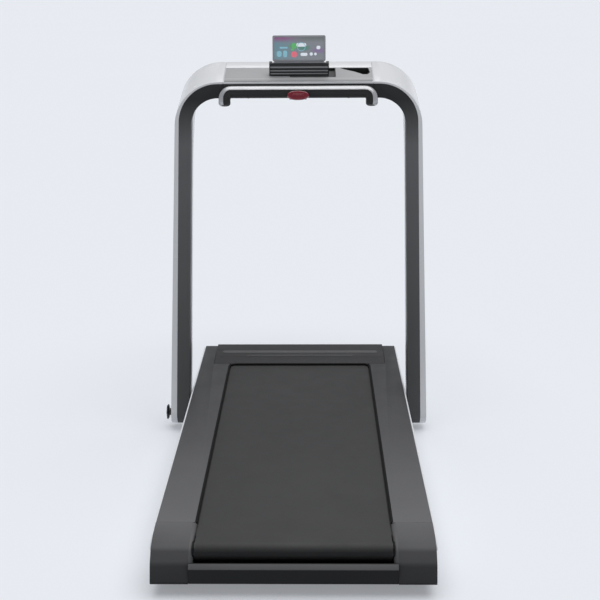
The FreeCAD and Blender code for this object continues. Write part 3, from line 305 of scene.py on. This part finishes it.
def plywood():
    """Black phenolic face over pale laminated edges."""
    finish = Finish("deck_ply", linear(150, 118, 82), 0.55)
    finish.tint(0.02, 0.12, 4.0, (1, 0.2, 8))
    finish.over(finish.ramp(finish.stripes("Z", 2.6 * MM), 0.4, 0.6), linear(104, 76, 48))
    up = finish.math("ABSOLUTE", finish.part(finish.normal, "Z"))
    finish.over(finish.ramp(up, 0.5, 0.6), linear(24, 23, 23))
    finish.relief(finish.noise(1.2 * MM, 3.0, (1, 0.15, 1)), 0.03 * MM)
    return finish


def circuit():
    """Green board with gold pads."""
    finish = Finish("circuit", linear(22, 82, 44), 0.3)
    finish.tint(0.01, 0.08)
    finish.over(finish.ramp(finish.cells(3 * MM), 0.10, 0.13, 1.0, 0.0), linear(196, 168, 92))
    finish.relief(finish.noise(2 * MM, 1.0), 0.05 * MM)
    return finish


def screen(plane, half_width, half_height):
    """Lit panel: a lilac to teal wash with soft coloured areas."""
    finish = Finish("screen", linear(124, 128, 134), 0.12, Emission_Strength=0.42)
    offset = finish.add("ShaderNodeVectorMath")
    offset.operation = "SUBTRACT"
    finish.link(finish.place, offset.inputs[0])
    offset.inputs[1].default_value = plane.centre

    def measure(axis, half):
        dot = finish.add("ShaderNodeVectorMath")
        dot.operation = "DOT_PRODUCT"
        finish.link(offset.outputs[0], dot.inputs[0])
        dot.inputs[1].default_value = axis
        return finish.math("DIVIDE", dot.outputs["Value"], half)

    across = measure(plane.across, half_width)
    up = measure(plane.up, half_height)
    finish.over(finish.ramp(across, 0.2, -0.9), linear(104, 132, 142))
    finish.over(finish.math("MULTIPLY", finish.ramp(up, 0.45, 0.85),
                            finish.ramp(across, 0.3, -0.6)), linear(128, 92, 122))
    finish.over(finish.math("MULTIPLY", finish.ramp(up, 0.5, 0.9),
                            finish.ramp(across, -0.4, 0.2)), linear(106, 110, 110))
    for x, y, reach, colour in ((-0.20, 0.18, 0.26, linear(78, 146, 84)),
                                (0.18, 0.05, 0.34, linear(86, 128, 118)),
                                (0.80, -0.2, 0.36, linear(126, 112, 142))):
        squares = []
        for value, middle in ((across, x), (up, y)):
            offset_from = finish.math("ABSOLUTE", finish.math("SUBTRACT", value, middle))
            squares.append(finish.math("POWER", offset_from, 2.0))
        away = finish.math("SQRT", finish.math("ADD", *squares))
        finish.over(finish.ramp(away, reach, reach * 0.3), colour)
    finish.link(finish.paint, finish.shader.inputs["Emission Color"])
    finish.wear(0.02, 0.03)
    return finish


def lamp_colour(name, colour):
    """A lit mark on the screen."""
    finish = Finish(name, colour, 0.3, Emission_Strength=0.40)
    finish.tint(2 * MM, 0.04)
    finish.link(finish.paint, finish.shader.inputs["Emission Color"])
    return finish


# deck_cover, belt, arch_white and arch_dark carry painted light and shade, set in the functions
# that make them
FINISHES = {
    "deck_cover": rail_plastic(),
    "side_shell": glossy("side_shell", linear(224, 226, 229), 0.30),
    "belt": belt_rubber(),
    "arch_white": arch_shell(),
    "arch_dark": arch_plastic(),
    "console_grey": grained("console_grey", linear(166, 167, 168), 0.5),
    "black_plastic": grained("black_plastic", linear(24, 24, 25), 0.42),
    "display_frame": grained("display_frame", linear(150, 151, 155), 0.35),
    "display_glass": glossy("display_glass", linear(40, 41, 46), 0.08),
    "bar_silver": brushed("bar_silver", linear(186, 187, 189), 0.34, (0.04, 1, 1), 0.5),
    "bar_grip": grained("bar_grip", linear(20, 21, 20), 0.6, 1.4 * MM, 0.15 * MM),
    "key_red": glossy("key_red", linear(120, 16, 36), 0.16, Coat_Weight=0.6),
    "frame_paint": grained("frame_paint", linear(40, 40, 42), 0.45, 1.6 * MM, 0.03 * MM),
    "bright_steel": brushed("bright_steel", linear(170, 171, 174), 0.28, (0.05, 1, 1)),
    "cast_metal": grained("cast_metal", linear(120, 121, 124), 0.5, 0.8 * MM, 0.1 * MM,
                          metallic=0.7),
    "bronze": grained("bronze", linear(176, 132, 72), 0.35, 0.5 * MM, 0.03 * MM, metallic=1.0),
    "rubber": grained("rubber", linear(27, 27, 28), 0.7, 1.2 * MM, 0.1 * MM),
    "board": plywood(),
    "circuit": circuit(),
}
# Painted shade on the deck mouldings below: deck_plastic makes them paler on upward faces and
# darker on the rest.
HOOD_FINISH = deck_plastic("hood_plastic", linear(40, 40, 41), 0.45)
# Painted highlight: the hood's ridge lines much paler than the hood.
RIDGE_HIGHLIGHT_FINISH = deck_plastic("ridge_painted_highlight", linear(76, 76, 77), 0.6)
CAP_FINISH = deck_plastic("cap_plastic", linear(80, 80, 81), 0.10, 0.2)
# Painted light: the caps lighter towards their front end.
CAP_FINISH.along("Y", -0.63, -0.56, 1.0, 1.5)
LIP_FINISH = deck_plastic("lip_plastic", linear(84, 84, 85), 0.20)
SILL_FINISH = deck_plastic("sill_plastic", linear(88, 88, 89), 0.05, 0.2)
# Painted shade: the sill's upward faces nearly black, as under the rear roller.
SILL_FINISH.facing(0.80, 0.95, 1.0, 0.08)
# Painted shadow: near-black rubber for the strips, plates and sleeves that stand in for shade in
# gaps.
SHADOW_SEAL_FINISH = grained("shadow_seal_rubber", linear(14, 14, 15), 0.75, Specular_IOR_Level=0.2)
RIB_FINISH = grained("rib_plastic", linear(136, 137, 138), 0.4)
TRIM_SHADE_FINISH = grained("trim_painted_shade", linear(176, 177, 178), 0.45)
# Painted shade: the nosing darker towards its near edge, as a rounded edge turning into shade.
TRIM_SHADE_FINISH.along("Y", 0.518, 0.543, 0.55, 1.08)
ROLLER_FINISH = roller_steel()
SCREW_FINISH = brushed("screw_steel", linear(84, 85, 88), 0.35, (1, 1, 1))


# ---------------------------------------------------------------- shapes

def leaning(x, y, z):
    """A point of the arch, given in its own frame: z runs up along the legs."""
    along = Vector((0, math.sin(LEAN), math.cos(LEAN)))
    through = Vector((0, math.cos(LEAN), -math.sin(LEAN)))
    return PIVOT + Vector((x, 0, 0)) + through * y + along * z


def leaning_box(node):
    """Lowest and highest corner of a node in the arch's own frame."""
    points = []
    for vertex in frame["nodes"][node].data.vertices:
        offset = vertex.co - PIVOT
        points.append((offset.x, offset.y * math.cos(LEAN) - offset.z * math.sin(LEAN),
                       offset.y * math.sin(LEAN) + offset.z * math.cos(LEAN)))
    return (Vector([min(p[i] for p in points) for i in range(3)]),
            Vector([max(p[i] for p in points) for i in range(3)]))


class Plane:
    """A flat place to draw on: its centre, and unit vectors across, up and out."""

    def __init__(self, centre, across, up):
        self.centre = centre
        self.across = across.normalized()
        self.up = up.normalized()
        self.out = self.across.cross(self.up)

    def at(self, x, y, out=0.0):
        return self.centre + self.across * x + self.up * y + self.out * out


def face_plane(node, toward, closeness=0.7):
    """The node's largest flat face on that side: its plane and half sizes."""
    mesh = frame["nodes"][node].data
    facing = [f for f in mesh.polygons if f.normal.dot(toward.normalized()) > closeness]
    normal = max(facing, key=lambda f: f.area).normal.copy()
    across = Vector((1, 0, 0))
    up = normal.cross(across)
    flat = [v for f in facing if f.normal.dot(normal) > 0.99 for v in f.vertices]
    spots = [mesh.vertices[v].co for v in flat]
    level = max(p.dot(normal) for p in spots)
    low_x = min(p.x for p in spots)
    high_x = max(p.x for p in spots)
    low_up = min(p.dot(up) for p in spots)
    high_up = max(p.dot(up) for p in spots)
    centre = (across * (low_x + high_x) / 2 + up * (low_up + high_up) / 2 + normal * level)
    return Plane(centre, across, up), (high_x - low_x) / 2, (high_up - low_up) / 2


def surface_of(node):
    """A CAD node's surface, for finding where a line meets it."""
    mesh = frame["nodes"][node].data
    return BVHTree.FromPolygons([v.co for v in mesh.vertices],
                                [f.vertices for f in mesh.polygons])


def loft(mesh, rings, closed=False):
    """Quads between rings of points, each ring closed on itself."""
    rows = [[mesh.verts.new(p) for p in ring] for ring in rings]
    pairs = list(zip(rows, rows[1:]))
    if closed:
        pairs.append((rows[-1], rows[0]))
    count = len(rows[0])
    for lower, upper in pairs:
        for i in range(count):
            j = (i + 1) % count
            mesh.faces.new((lower[i], lower[j], upper[j], upper[i]))
    if not closed:
        mesh.faces.new(reversed(rows[0]))
        mesh.faces.new(rows[-1])


def rounded(width, height, radius, steps=5):
    """A rectangle's outline about the origin with round corners."""
    points = []
    for turn, (sx, sy) in enumerate(((1, 1), (-1, 1), (-1, -1), (1, -1))):
        for step in range(steps + 1):
            angle = math.pi / 2 * (turn + step / steps)
            points.append((sx * (width / 2 - radius) + radius * math.cos(angle),
                           sy * (height / 2 - radius) + radius * math.sin(angle)))
    return points


def oval(width, height, steps=40, power=2.0):
    """An ellipse's outline about the origin, squarer as the power grows."""
    points = []
    for step in range(steps):
        angle = 2 * math.pi * step / steps
        c, s = math.cos(angle), math.sin(angle)
        points.append((width / 2 * math.copysign(abs(c) ** (2 / power), c),
                       height / 2 * math.copysign(abs(s) ** (2 / power), s)))
    return points


def slab(mesh, plane, outline_of, low, high, edge, steps=4, centre=(0, 0)):
    """A closed flat body whose upper edge is rounded; outline_of(inset) gives its outline."""
    levels = [(0.0, low)]
    for step in range(steps + 1):
        angle = math.pi / 2 * step / steps
        levels.append((edge * (1 - math.cos(angle)), high - edge + edge * math.sin(angle)))
    rings = []
    for inset, level in levels:
        rings.append([plane.at(centre[0] + x, centre[1] + y, level)
                      for x, y in outline_of(inset)])
    loft(mesh, rings)


def tube_rings(points, across, radius_at, ease=0.0, steps=3):
    """Rings of a section swept along a path; radius_at(shrink) lists (angle, radius)."""
    rings = []
    last = len(points) - 1
    stations = []
    for i, point in enumerate(points):
        ahead = points[min(i + 1, last)] - points[max(i - 1, 0)]
        stations.append((point, ahead.normalized()))
    first_point, first_way = stations[0]
    last_point, last_way = stations[-1]
    spots = []
    for step in range(steps, 0, -1):
        angle = math.pi / 2 * step / steps
        spots.append((first_point - first_way * ease * math.sin(angle), first_way,
                      ease * (1 - math.cos(angle))))
    spots += [(point, way, 0.0) for point, way in stations]
    for step in range(1, steps + 1):
        angle = math.pi / 2 * step / steps
        spots.append((last_point + last_way * ease * math.sin(angle), last_way,
                      ease * (1 - math.cos(angle))))
    for point, way, shrink in spots:
        outward = way.cross(across).normalized()
        ring = []
        for angle, radius in radius_at(shrink):
            ring.append(point + (outward * math.cos(angle) + across * math.sin(angle)) * radius)
        rings.append(ring)
    return rings


def turned(mesh, origin, axis, profile, lobes=0, depth=0.0, steps=48):
    """A round body from (distance along the axis, radius) pairs, with lobes if asked."""
    aside = axis.orthogonal().normalized()
    third = axis.cross(aside)
    rings = []
    for reach, radius in profile:
        ring = []
        for step in range(steps):
            angle = 2 * math.pi * step / steps
            wave = depth * radius * (math.cos(lobes * angle) - 1) / 2 if lobes else 0.0
            spread = (aside * math.cos(angle) + third * math.sin(angle)) * (radius + wave)
            ring.append(origin + axis * reach + spread)
        rings.append(ring)
    loft(mesh, rings)


def piece(mesh, name, body, slot_name, finish=None, smooth=30, stands_for=()):
    """Turns a mesh into a piece that rides on a body, and may stand for CAD nodes."""
    bmesh.ops.recalc_face_normals(mesh, faces=mesh.faces)
    data = bpy.data.meshes.new(name)
    mesh.to_mesh(data)
    mesh.free()
    made = bpy.data.objects.new(name, data)
    bpy.context.scene.collection.objects.link(made)
    data.shade_smooth()
    data.set_sharp_from_angle(angle=math.radians(smooth))
    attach(made, body)
    if stands_for:
        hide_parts(*stands_for)
    dress(made, slot_name, finish)
    return made


def dress(made, slot_name, finish=None):
    """Gives a piece its finish: the one asked for, or else the one for its slot."""
    made.data.materials.clear()
    made.data.materials.append((finish or FINISHES[slot_name]).material)


def softened(node, width, segments=3, limit=28, finish=None):
    """A CAD node's shape with its hard edges rounded, standing for the node."""
    mesh = bmesh.new()
    mesh.from_mesh(frame["nodes"][node].data)
    bmesh.ops.remove_doubles(mesh, verts=mesh.verts, dist=0.01 * MM)
    bmesh.ops.dissolve_limit(mesh, angle_limit=math.radians(0.6), verts=mesh.verts,
                             edges=mesh.edges)
    hard = [e for e in mesh.edges if len(e.link_faces) == 2
            and e.calc_face_angle(0) > math.radians(limit)]
    bmesh.ops.bevel(mesh, geom=hard, offset=width, segments=segments, profile=0.5, affect="EDGES",
                    clamp_overlap=True, miter_outer="ARC", harden_normals=False)
    return piece(mesh, node + "_soft", BODY_OF[node], SLOTS[node], finish, 30, (node,))


SLOTS = {name: node.data.materials[0].name for name, node in frame["nodes"].items()}
SOFT = {
    "foot_rail_left": 2.0, "foot_rail_right": 2.0, "rear_cap_left": 1.5, "rear_cap_right": 1.5,
    "motor_hood": 2.0, "side_shell_left": 1.0, "side_shell_right": 1.0, "rear_cover": 2.0,
    "outer_shell_left": 2.0, "outer_shell_right": 2.0, "inner_cover_left": 1.5,
    "inner_cover_right": 1.5, "console_housing": 2.0, "console_rear_cover": 1.5,
    "console_panel": 1.5, "display_case": 1.5, "display_stand": 0.8, "storage_tray": 0.6,
    "rear_feet": 1.0, "front_wheel_left": 1.2, "front_wheel_right": 1.2, "power_switch": 0.8,
    "belly_pan": 1.0, "running_belt": 0.4,
}
OWN_FINISH = {"motor_hood": HOOD_FINISH, "rear_cover": SILL_FINISH, "rear_cap_left": CAP_FINISH,
              "rear_cap_right": CAP_FINISH, "front_roller": ROLLER_FINISH,
              "rear_roller": ROLLER_FINISH}


def cad_nodes():
    """Softens or dresses every CAD node that has no piece of its own below."""
    replaced_below = {"handlebar", "handlebar_grip", "safety_key", "lock_knob", "display_screen"}
    for name, node in frame["nodes"].items():
        if name in replaced_below:
            continue
        if name in SOFT:
            softened(name, SOFT[name] * MM, finish=OWN_FINISH.get(name))
        else:
            dress(node, SLOTS[name], OWN_FINISH.get(name))


# ---------------------------------------------------------------- pieces on the arch

def handlebar():
    """A hooked bar: a soft grip all round, and a bright strip wrapped over its outside."""
    low, high = leaning_box("handlebar")
    sleeve_low, sleeve_high = leaning_box("handlebar_grip")
    radius = (sleeve_high.y - sleeve_low.y) / 2
    centre_y = (sleeve_high.y + sleeve_low.y) / 2
    half = high.x - radius
    top = high.z - radius
    bottom = low.z
    ease = 7 * MM
    bend = 20 * MM
    path = []
    for side in (-1, 1):
        corner = []
        for step in range(9):
            angle = math.pi / 2 * step / 8
            corner.append((side * (half - bend + bend * math.cos(angle)),
                           top - bend + bend * math.sin(angle)))
        corner.insert(0, (side * half, bottom + ease))
        path += corner if side < 0 else corner[::-1]
    points = [leaning(x, centre_y, z) for x, z in path]
    across = leaning(0, 1, 0) - leaning(0, 0, 0)

    def grip(shrink):
        return [(2 * math.pi * i / 40, radius - 0.7 * MM - shrink) for i in range(40)]

    def strip(shrink):
        spread = math.radians(80)
        steps = 20
        outer = [(spread * (2 * i / steps - 1), radius - shrink) for i in range(steps + 1)]
        inner = [(angle * 1.02, radius - 2 * MM - shrink) for angle, _ in reversed(outer)]
        return outer + inner

    body = BODY_OF["handlebar"]
    mesh = bmesh.new()
    loft(mesh, tube_rings(points, across, grip, ease))
    piece(mesh, "handlebar_grip_sleeve", body, "bar_grip", None, 40, ("handlebar_grip",))
    mesh = bmesh.new()
    loft(mesh, tube_rings(points, across, strip, ease))
    reach = high.y - centre_y
    for side in (-1, 1):
        turned(mesh, leaning(side * 150 * MM, centre_y, top), across.copy(),
               [(0.0, 7.5 * MM), (reach - 2 * MM, 7.5 * MM), (reach, 9 * MM)])
    piece(mesh, "handlebar_bright_strip", body, "bar_silver", None, 40, ("handlebar",))


def safety_key():
    """An oval magnetic key with a domed face and a finger ridge across it."""
    low, high = leaning_box("safety_key")
    centre = (low + high) / 2
    across = Vector((1, 0, 0))
    up = leaning(0, 0, 1) - leaning(0, 0, 0)
    plane = Plane(leaning(centre.x, high.y, centre.z), across, up)
    width, height, depth = high.x - low.x, high.z - low.z, high.y - low.y
    mesh = bmesh.new()

    def outline(inset):
        return oval(width - 2 * inset, height - 2 * inset * height / width * 1.6, 48, 2.3)

    slab(mesh, plane, outline, 0.0, depth - 1.2 * MM, 5.0 * MM, 6)
    slab(mesh, plane, lambda inset: rounded(34 * MM - 2 * inset, 7 * MM - 2 * inset,
                                            3 * MM - inset), depth - 3 * MM, depth, 1.6 * MM)
    piece(mesh, "safety_key_grip", BODY_OF["safety_key"], "key_red", None, 40, ("safety_key",))


def lock_knob():
    """A star knob: a domed head with six soft lobes on a waisted neck."""
    low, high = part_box("lock_knob")
    origin = Vector((low.x, PIVOT.y, PIVOT.z))
    radius = (high.y - low.y) / 2
    inward = Vector((1, 0, 0))
    head = 7 * MM
    profile = [(0.0, radius * 0.30), (0.2 * MM, radius * 0.62), (1.0 * MM, radius * 0.84),
               (2.2 * MM, radius * 0.97), (3.8 * MM, radius), (5.4 * MM, radius * 0.95),
               (head, radius * 0.70)]
    mesh = bmesh.new()
    turned(mesh, origin, inward, profile, 6, 0.16, 72)
    turned(mesh, origin, inward, [(head - 1 * MM, 11 * MM), (high.x - low.x - 26 * MM, 10 * MM)])
    turned(mesh, origin, inward, [(head, 4.9 * MM), (high.x - low.x, 4.9 * MM)], steps=24)
    piece(mesh, "lock_knob_star", BODY_OF["lock_knob"], "black_plastic", None, 40, ("lock_knob",))
    mesh = bmesh.new()
    turned(mesh, origin + inward * 0.6 * MM, -inward,
           [(-0.4 * MM, 6.4 * MM), (0.2 * MM, 6.2 * MM), (0.6 * MM, 5.4 * MM)], steps=32)
    piece(mesh, "lock_knob_badge", BODY_OF["lock_knob"], "bright_steel", None, 40)


def display():
    """The display's bezel, its lit screen and the marks on it."""
    plane, half_width, half_height = face_plane("display_screen", Vector((0, -1, 0)))
    body = BODY_OF["display_screen"]
    glass = Plane(plane.at(0, 0, 0.2 * MM), plane.across, plane.up)
    mesh = bmesh.new()
    slab(mesh, plane, lambda inset: rounded(2 * (half_width - inset), 2 * (half_height - inset),
                                            3.5 * MM - inset), -1.0 * MM, 0.2 * MM, 0.3 * MM)
    piece(mesh, "display_lit_screen", body, "display_glass",
          screen(plane, half_width, half_height), 40, ("display_screen",))

    mesh = bmesh.new()
    edge = 2.6 * MM
    levels = [(0.0, -1.0), (0.0, 0.3), (0.8, 0.75), (1.9, 0.75), (2.6, 0.2), (2.6, -1.0)]
    rings = []
    for inset, level in levels:
        inset *= MM
        outline = rounded(2 * (half_width + edge - inset), 2 * (half_height + edge - inset),
                          6 * MM - inset)
        rings.append([plane.at(x, y, level * MM) for x, y in outline])
    loft(mesh, rings, closed=True)
    piece(mesh, "display_bezel", body, "display_frame", None, 40)

    white = lamp_colour("mark_white", linear(214, 220, 226))
    green = lamp_colour("mark_green", linear(92, 168, 104))
    pink = lamp_colour("mark_pink", linear(214, 108, 122))
    cyan = lamp_colour("mark_cyan", linear(128, 176, 190))
    marks = (
        ("gauge", white, [(0.09, 0.30, 0.20, 0.16)]),
        ("white", white, [(0.78, 0.06, 0.08, 0.16), (0.49, -0.52, 0.06, 0.14),
                          (0.20, -0.55, 0.14, 0.14), (0.66, -0.52, 0.05, 0.12)]),
        ("green", green, [(-0.20, 0.22, 0.10, 0.26), (-0.26, -0.12, 0.06, 0.10)]),
        ("pink", pink, [(-0.20, -0.55, 0.12, 0.26)]),
        ("cyan", cyan, [(-0.80, -0.5, 0.10, 0.26), (-0.56, -0.5, 0.08, 0.30),
                        (-0.62, 0.05, 0.16, 0.08)]),
    )
    for label, finish, spots in marks:
        mesh = bmesh.new()
        for x, y, wide, tall in spots:
            width = 2 * wide * half_width
            height = 2 * tall * half_height
            radius = min(width, height) * 0.42
            slab(mesh, glass, lambda inset, w=width, h=height, r=radius: rounded(
                w - 2 * inset, h - 2 * inset, r - inset), -0.1 * MM, 0.12 * MM, 0.05 * MM,
                2, (x * half_width, y * half_height))
        piece(mesh, "display_marks_" + label, body, "display_glass", finish, 40)

    mesh = bmesh.new()
    ring = oval(2, 2, 36)
    rings = []
    for scale, level in ((1.0, -0.1), (1.0, 0.16), (0.86, 0.16), (0.86, -0.1)):
        rings.append([glass.at(0.09 * half_width + 13 * MM * scale * c,
                               0.14 * half_height + 13 * MM * scale * s, level * MM)
                      for c, s in ring])
    loft(mesh, rings, closed=True)
    piece(mesh, "display_marks_ring", body, "display_glass", cyan, 40)


def stand_ribs():
    """Pale ribs across the front of the display's stand."""
    plane, half_width, half_height = face_plane("display_stand", Vector((0, -0.961, -0.276)), 0.98)
    mesh = bmesh.new()
    for share in (-0.52, 0.08, 0.77):
        slab(mesh, plane, lambda inset: rounded(2 * half_width - 6 * MM - 2 * inset,
                                                4.6 * MM - 2 * inset, 2.0 * MM - inset),
             -0.5 * MM, 1.0 * MM, 0.9 * MM, 3, (0, share * half_height))
    piece(mesh, "display_stand_ribs", BODY_OF["display_stand"], "display_frame", RIB_FINISH, 40)


def console_trim():
    """Grey nosing between the console's panel and its near edge, with painted shade darker towards
    that edge.
    """
    panel, half_width, half_height = face_plane("console_panel", Vector((0, -0.276, 0.961)), 0.98)
    near = panel.at(0, -half_height)
    reach = 26 * MM
    plane = Plane(near - panel.up * (reach / 2 + 0.5 * MM), panel.across, panel.up)
    mesh = bmesh.new()
    slab(mesh, plane, lambda inset: rounded(2 * half_width - 2 * inset, reach - 2 * inset,
                                            3 * MM - inset), -1.0 * MM, 0.9 * MM, 0.8 * MM)
    piece(mesh, "console_front_trim", BODY_OF["console_housing"], "console_grey", TRIM_SHADE_FINISH, 40)


# ---------------------------------------------------------------- pieces on the deck

def throat_shadow_seal():
    """Black strip round the belt's opening, with round far corners: painted shadow for the gap
    between the belt and the rails.
    """
    rail_low, rail_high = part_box("foot_rail_right")
    inner = rail_low.x
    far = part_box("motor_hood")[0].y
    near = rail_low.y
    top = rail_high.z
    corner = 20 * MM
    outline = []
    steps = 8
    for side in (-1, 1):
        stretch = []
        stretch.append((side * inner, near + 1 * MM))
        for step in range(steps + 1):
            angle = math.pi / 2 * step / steps
            stretch.append((side * (inner - corner + corner * math.cos(angle)),
                            far - corner + corner * math.sin(angle)))
        outline += stretch if side < 0 else stretch[::-1]
    mesh = bmesh.new()
    rings = []
    last = len(outline) - 1
    for i, (x, y) in enumerate(outline):
        before = Vector(outline[max(i - 1, 0)])
        after = Vector(outline[min(i + 1, last)])
        way = (after - before).normalized()
        outward = Vector((-way.y, way.x))
        ring = []
        for reach, level in ((-2.2, -5.0), (-2.2, -1.2), (-1.0, -0.1), (0.4, 0.45), (2.8, 0.45),
                             (3.4, 0.0), (3.4, -1.5), (0.2, -5.0)):
            spot = Vector((x, y)) + outward * reach * MM
            ring.append(Vector((spot.x, spot.y, top + level * MM)))
        rings.append(ring)
    loft(mesh, rings)
    piece(mesh, "throat_shadow_seal", "deck", "rubber", SHADOW_SEAL_FINISH, 40)


def rear_shadow_plate():
    """Dark plate under the rear roller, painted shadow that closes the view through the gap above
    the sill.
    """
    cover_low, cover_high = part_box("rear_cover")
    belt_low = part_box("running_belt")[0]
    width = cover_high.x - cover_low.x - 6 * MM
    reach = 84 * MM
    centre = Vector((0, cover_low.y + 6 * MM + reach / 2, belt_low.z - 10 * MM))
    plane = Plane(centre, Vector((1, 0, 0)), Vector((0, 1, 0)))
    mesh = bmesh.new()
    slab(mesh, plane, lambda inset: rounded(width - 2 * inset, reach - 2 * inset, 2 * MM - inset),
         -2 * MM, 0.0, 0.6 * MM)
    piece(mesh, "rear_shadow_plate", "deck", "rubber", SHADOW_SEAL_FINISH, 40)


def cap_lips():
    """Turned-in lips of the rear caps that close the gap beside the belt."""
    section = ((2.0, 0.3), (-1.0, 0.4), (-6.0, 1.6), (-9.6, 4.2), (-10.4, 7.0), (-9.4, 8.6),
               (2.0, 7.0))
    stations = 14
    for name, side in SIDES:
        skin = surface_of("rear_cap_" + name)
        low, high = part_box("rear_cap_" + name)
        inner = min(abs(low.x), abs(high.x))
        rings = []
        for station in range(stations):
            y = high.y - 0.5 * MM - (high.y - low.y - 15 * MM) * station / (stations - 1)
            above = Vector((side * (inner + 20 * MM), y, ABOVE_DECK))
            surface, normal, _, _ = skin.ray_cast(above, DOWN)
            rings.append([Vector((side * (inner + x * MM), surface.y, surface.z))
                          - Vector((0, normal.y, normal.z)) * depth * MM
                          for x, depth in section])
        mesh = bmesh.new()
        loft(mesh, rings)
        piece(mesh, "rear_cap_lip_" + name, "deck", "deck_cover", LIP_FINISH, 40)


def roller_shade_sleeves():
    """Black sleeves on the part of each roller that the belt leaves bare, painted shade for the
    gap beside the belt.
    """
    belt_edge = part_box("running_belt")[1].x
    for node in ("front_roller", "rear_roller"):
        low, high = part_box(node)
        middle = (low + high) / 2
        radius = (high.z - low.z) / 2 + 0.5 * MM
        mesh = bmesh.new()
        for side in (-1, 1):
            turned(mesh, Vector((side * (belt_edge + 0.8 * MM), middle.y, middle.z)),
                   Vector((side, 0, 0)),
                   [(0.0, radius - 0.6 * MM), (0.6 * MM, radius), (4.0 * MM, radius),
                    (5.2 * MM, radius - 1.5 * MM), (5.2 * MM, 9 * MM)])
        piece(mesh, node + "_sleeves", BODY_OF[node], "black_plastic", SHADOW_SEAL_FINISH, 40)


def hood_ridge():
    """Two raised lines along the rise of the hood, paler than the hood as a painted highlight."""
    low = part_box("motor_hood")[0]
    skin = surface_of("motor_hood")
    mesh = bmesh.new()
    for place, half, width in ((69 * MM, 170 * MM, 5 * MM), (92 * MM, 250 * MM, 16 * MM)):
        above = Vector((0, low.y + place, ABOVE_DECK))
        surface, normal, _, _ = skin.ray_cast(above, DOWN)
        across = Vector((1, 0, 0))
        plane = Plane(surface, across, normal.cross(across))
        slab(mesh, plane, lambda inset, h=half, w=width: rounded(
            2 * h - 2 * inset, w - 2 * inset, w * 0.48 - inset), -2 * MM, 0.9 * MM, 0.8 * MM)
    piece(mesh, "hood_ridge", "deck", "deck_cover", RIDGE_HIGHLIGHT_FINISH, 40)


def screws():
    """Cross-head screws under the belly pan."""
    low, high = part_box("belly_pan")
    margin = 12 * MM
    mesh = bmesh.new()
    for x in (low.x + margin, 0.0, high.x - margin):
        for y in (low.y + margin, high.y - margin):
            screw(mesh, Vector((x, y, low.z)), DOWN)
    body = BODY_OF["belly_pan"]
    piece(mesh, "cover_screws_" + body, body, "bright_steel", SCREW_FINISH, 40)


def screw(mesh, spot, out, radius=3.4 * MM):
    turned(mesh, spot, out, [(-1.0 * MM, radius), (0.1 * MM, radius), (0.45 * MM, radius * 0.86),
                             (0.6 * MM, radius * 0.5)], steps=24)
    aside = out.orthogonal().normalized()
    for direction in (aside, out.cross(aside)):
        plane = Plane(spot, direction, out.cross(direction))
        slab(mesh, plane, lambda inset: rounded(radius * 1.1 - 2 * inset, 0.7 * MM - 2 * inset,
                                                0.3 * MM - inset), 0.3 * MM, 0.62 * MM,
             0.05 * MM, 1)


cad_nodes()
handlebar()
safety_key()
lock_knob()
display()
stand_ribs()
console_trim()
throat_shadow_seal()
rear_shadow_plate()
cap_lips()
roller_shade_sleeves()
hood_ridge()
screws()


# ---------------------------------------------------------------- studio

def studio():
    """Pale background and floor, partly self-lit to soften shadows, and one soft lamp."""
    scene = bpy.context.scene
    scene.view_settings.view_transform = "Standard"
    world = bpy.data.worlds.new("studio")
    scene.world = world
    world.use_nodes = True
    tree = world.node_tree
    sky = tree.nodes["Background"]
    sky.inputs["Color"].default_value = linear(231, 234, 240)
    split = tree.nodes.new("ShaderNodeSeparateXYZ")
    tree.links.new(tree.nodes.new("ShaderNodeTexCoord").outputs["Generated"], split.inputs[0])
    fade = tree.nodes.new("ShaderNodeMapRange")
    fade.interpolation_type = "SMOOTHSTEP"
    fade.inputs["From Min"].default_value = 0.06
    fade.inputs["From Max"].default_value = 0.30
    fade.inputs["To Min"].default_value = 1.0
    fade.inputs["To Max"].default_value = 0.34
    tree.links.new(split.outputs["Z"], fade.inputs["Value"])
    tree.links.new(fade.outputs["Result"], sky.inputs["Strength"])

    floor = bmesh.new()
    bmesh.ops.create_grid(floor, x_segments=8, y_segments=8, size=60)
    data = bpy.data.meshes.new("floor")
    floor.to_mesh(data)
    floor.free()
    ground = bpy.data.objects.new("floor", data)
    scene.collection.objects.link(ground)
    glow = 0.30
    reflected = 0.69
    whole = linear(233, 236, 241)
    lit = tuple(c * reflected for c in whole[:3]) + (1.0,)
    finish = Finish("floor", lit, 0.9, Emission_Color=whole, Emission_Strength=glow)
    finish.shader.inputs["Specular IOR Level"].default_value = 0.1
    finish.tint(3.0, 0.004)
    data.materials.append(finish.material)

    lamp = bpy.data.lights.new("soft_sun", "SUN")
    lamp.energy = 2.25
    lamp.angle = math.radians(70)
    sun = bpy.data.objects.new("soft_sun", lamp)
    scene.collection.objects.link(sun)
    sun.rotation_euler = Vector((-0.10, -0.18, -1.0)).to_track_quat("-Z", "Y").to_euler()


def camera():
    """The camera fitted to the photograph's straight edges."""
    position = (0.0439, -2.595, 1.2933)
    turn, tilt, roll = math.radians(0.78), math.radians(17.80), math.radians(-0.3125)
    ahead = Vector((-math.sin(turn), math.cos(turn), 0))
    side = Vector((math.cos(turn), math.sin(turn), 0))
    rise = Vector((0, 0, 1))
    forward = ahead * math.cos(tilt) - rise * math.sin(tilt)
    over = ahead * math.sin(tilt) + rise * math.cos(tilt)
    right = side * math.cos(roll) + over * math.sin(roll)
    up = over * math.cos(roll) - side * math.sin(roll)
    data = bpy.data.cameras.new("camera")
    data.lens = 61.38
    data.sensor_width = 36
    eye = bpy.data.objects.new("camera", data)
    bpy.context.scene.collection.objects.link(eye)
    basis = Matrix((right, up, -forward)).transposed().to_4x4()
    eye.matrix_world = Matrix.Translation(position) @ basis
    bpy.context.scene.camera = eye


studio()
camera()
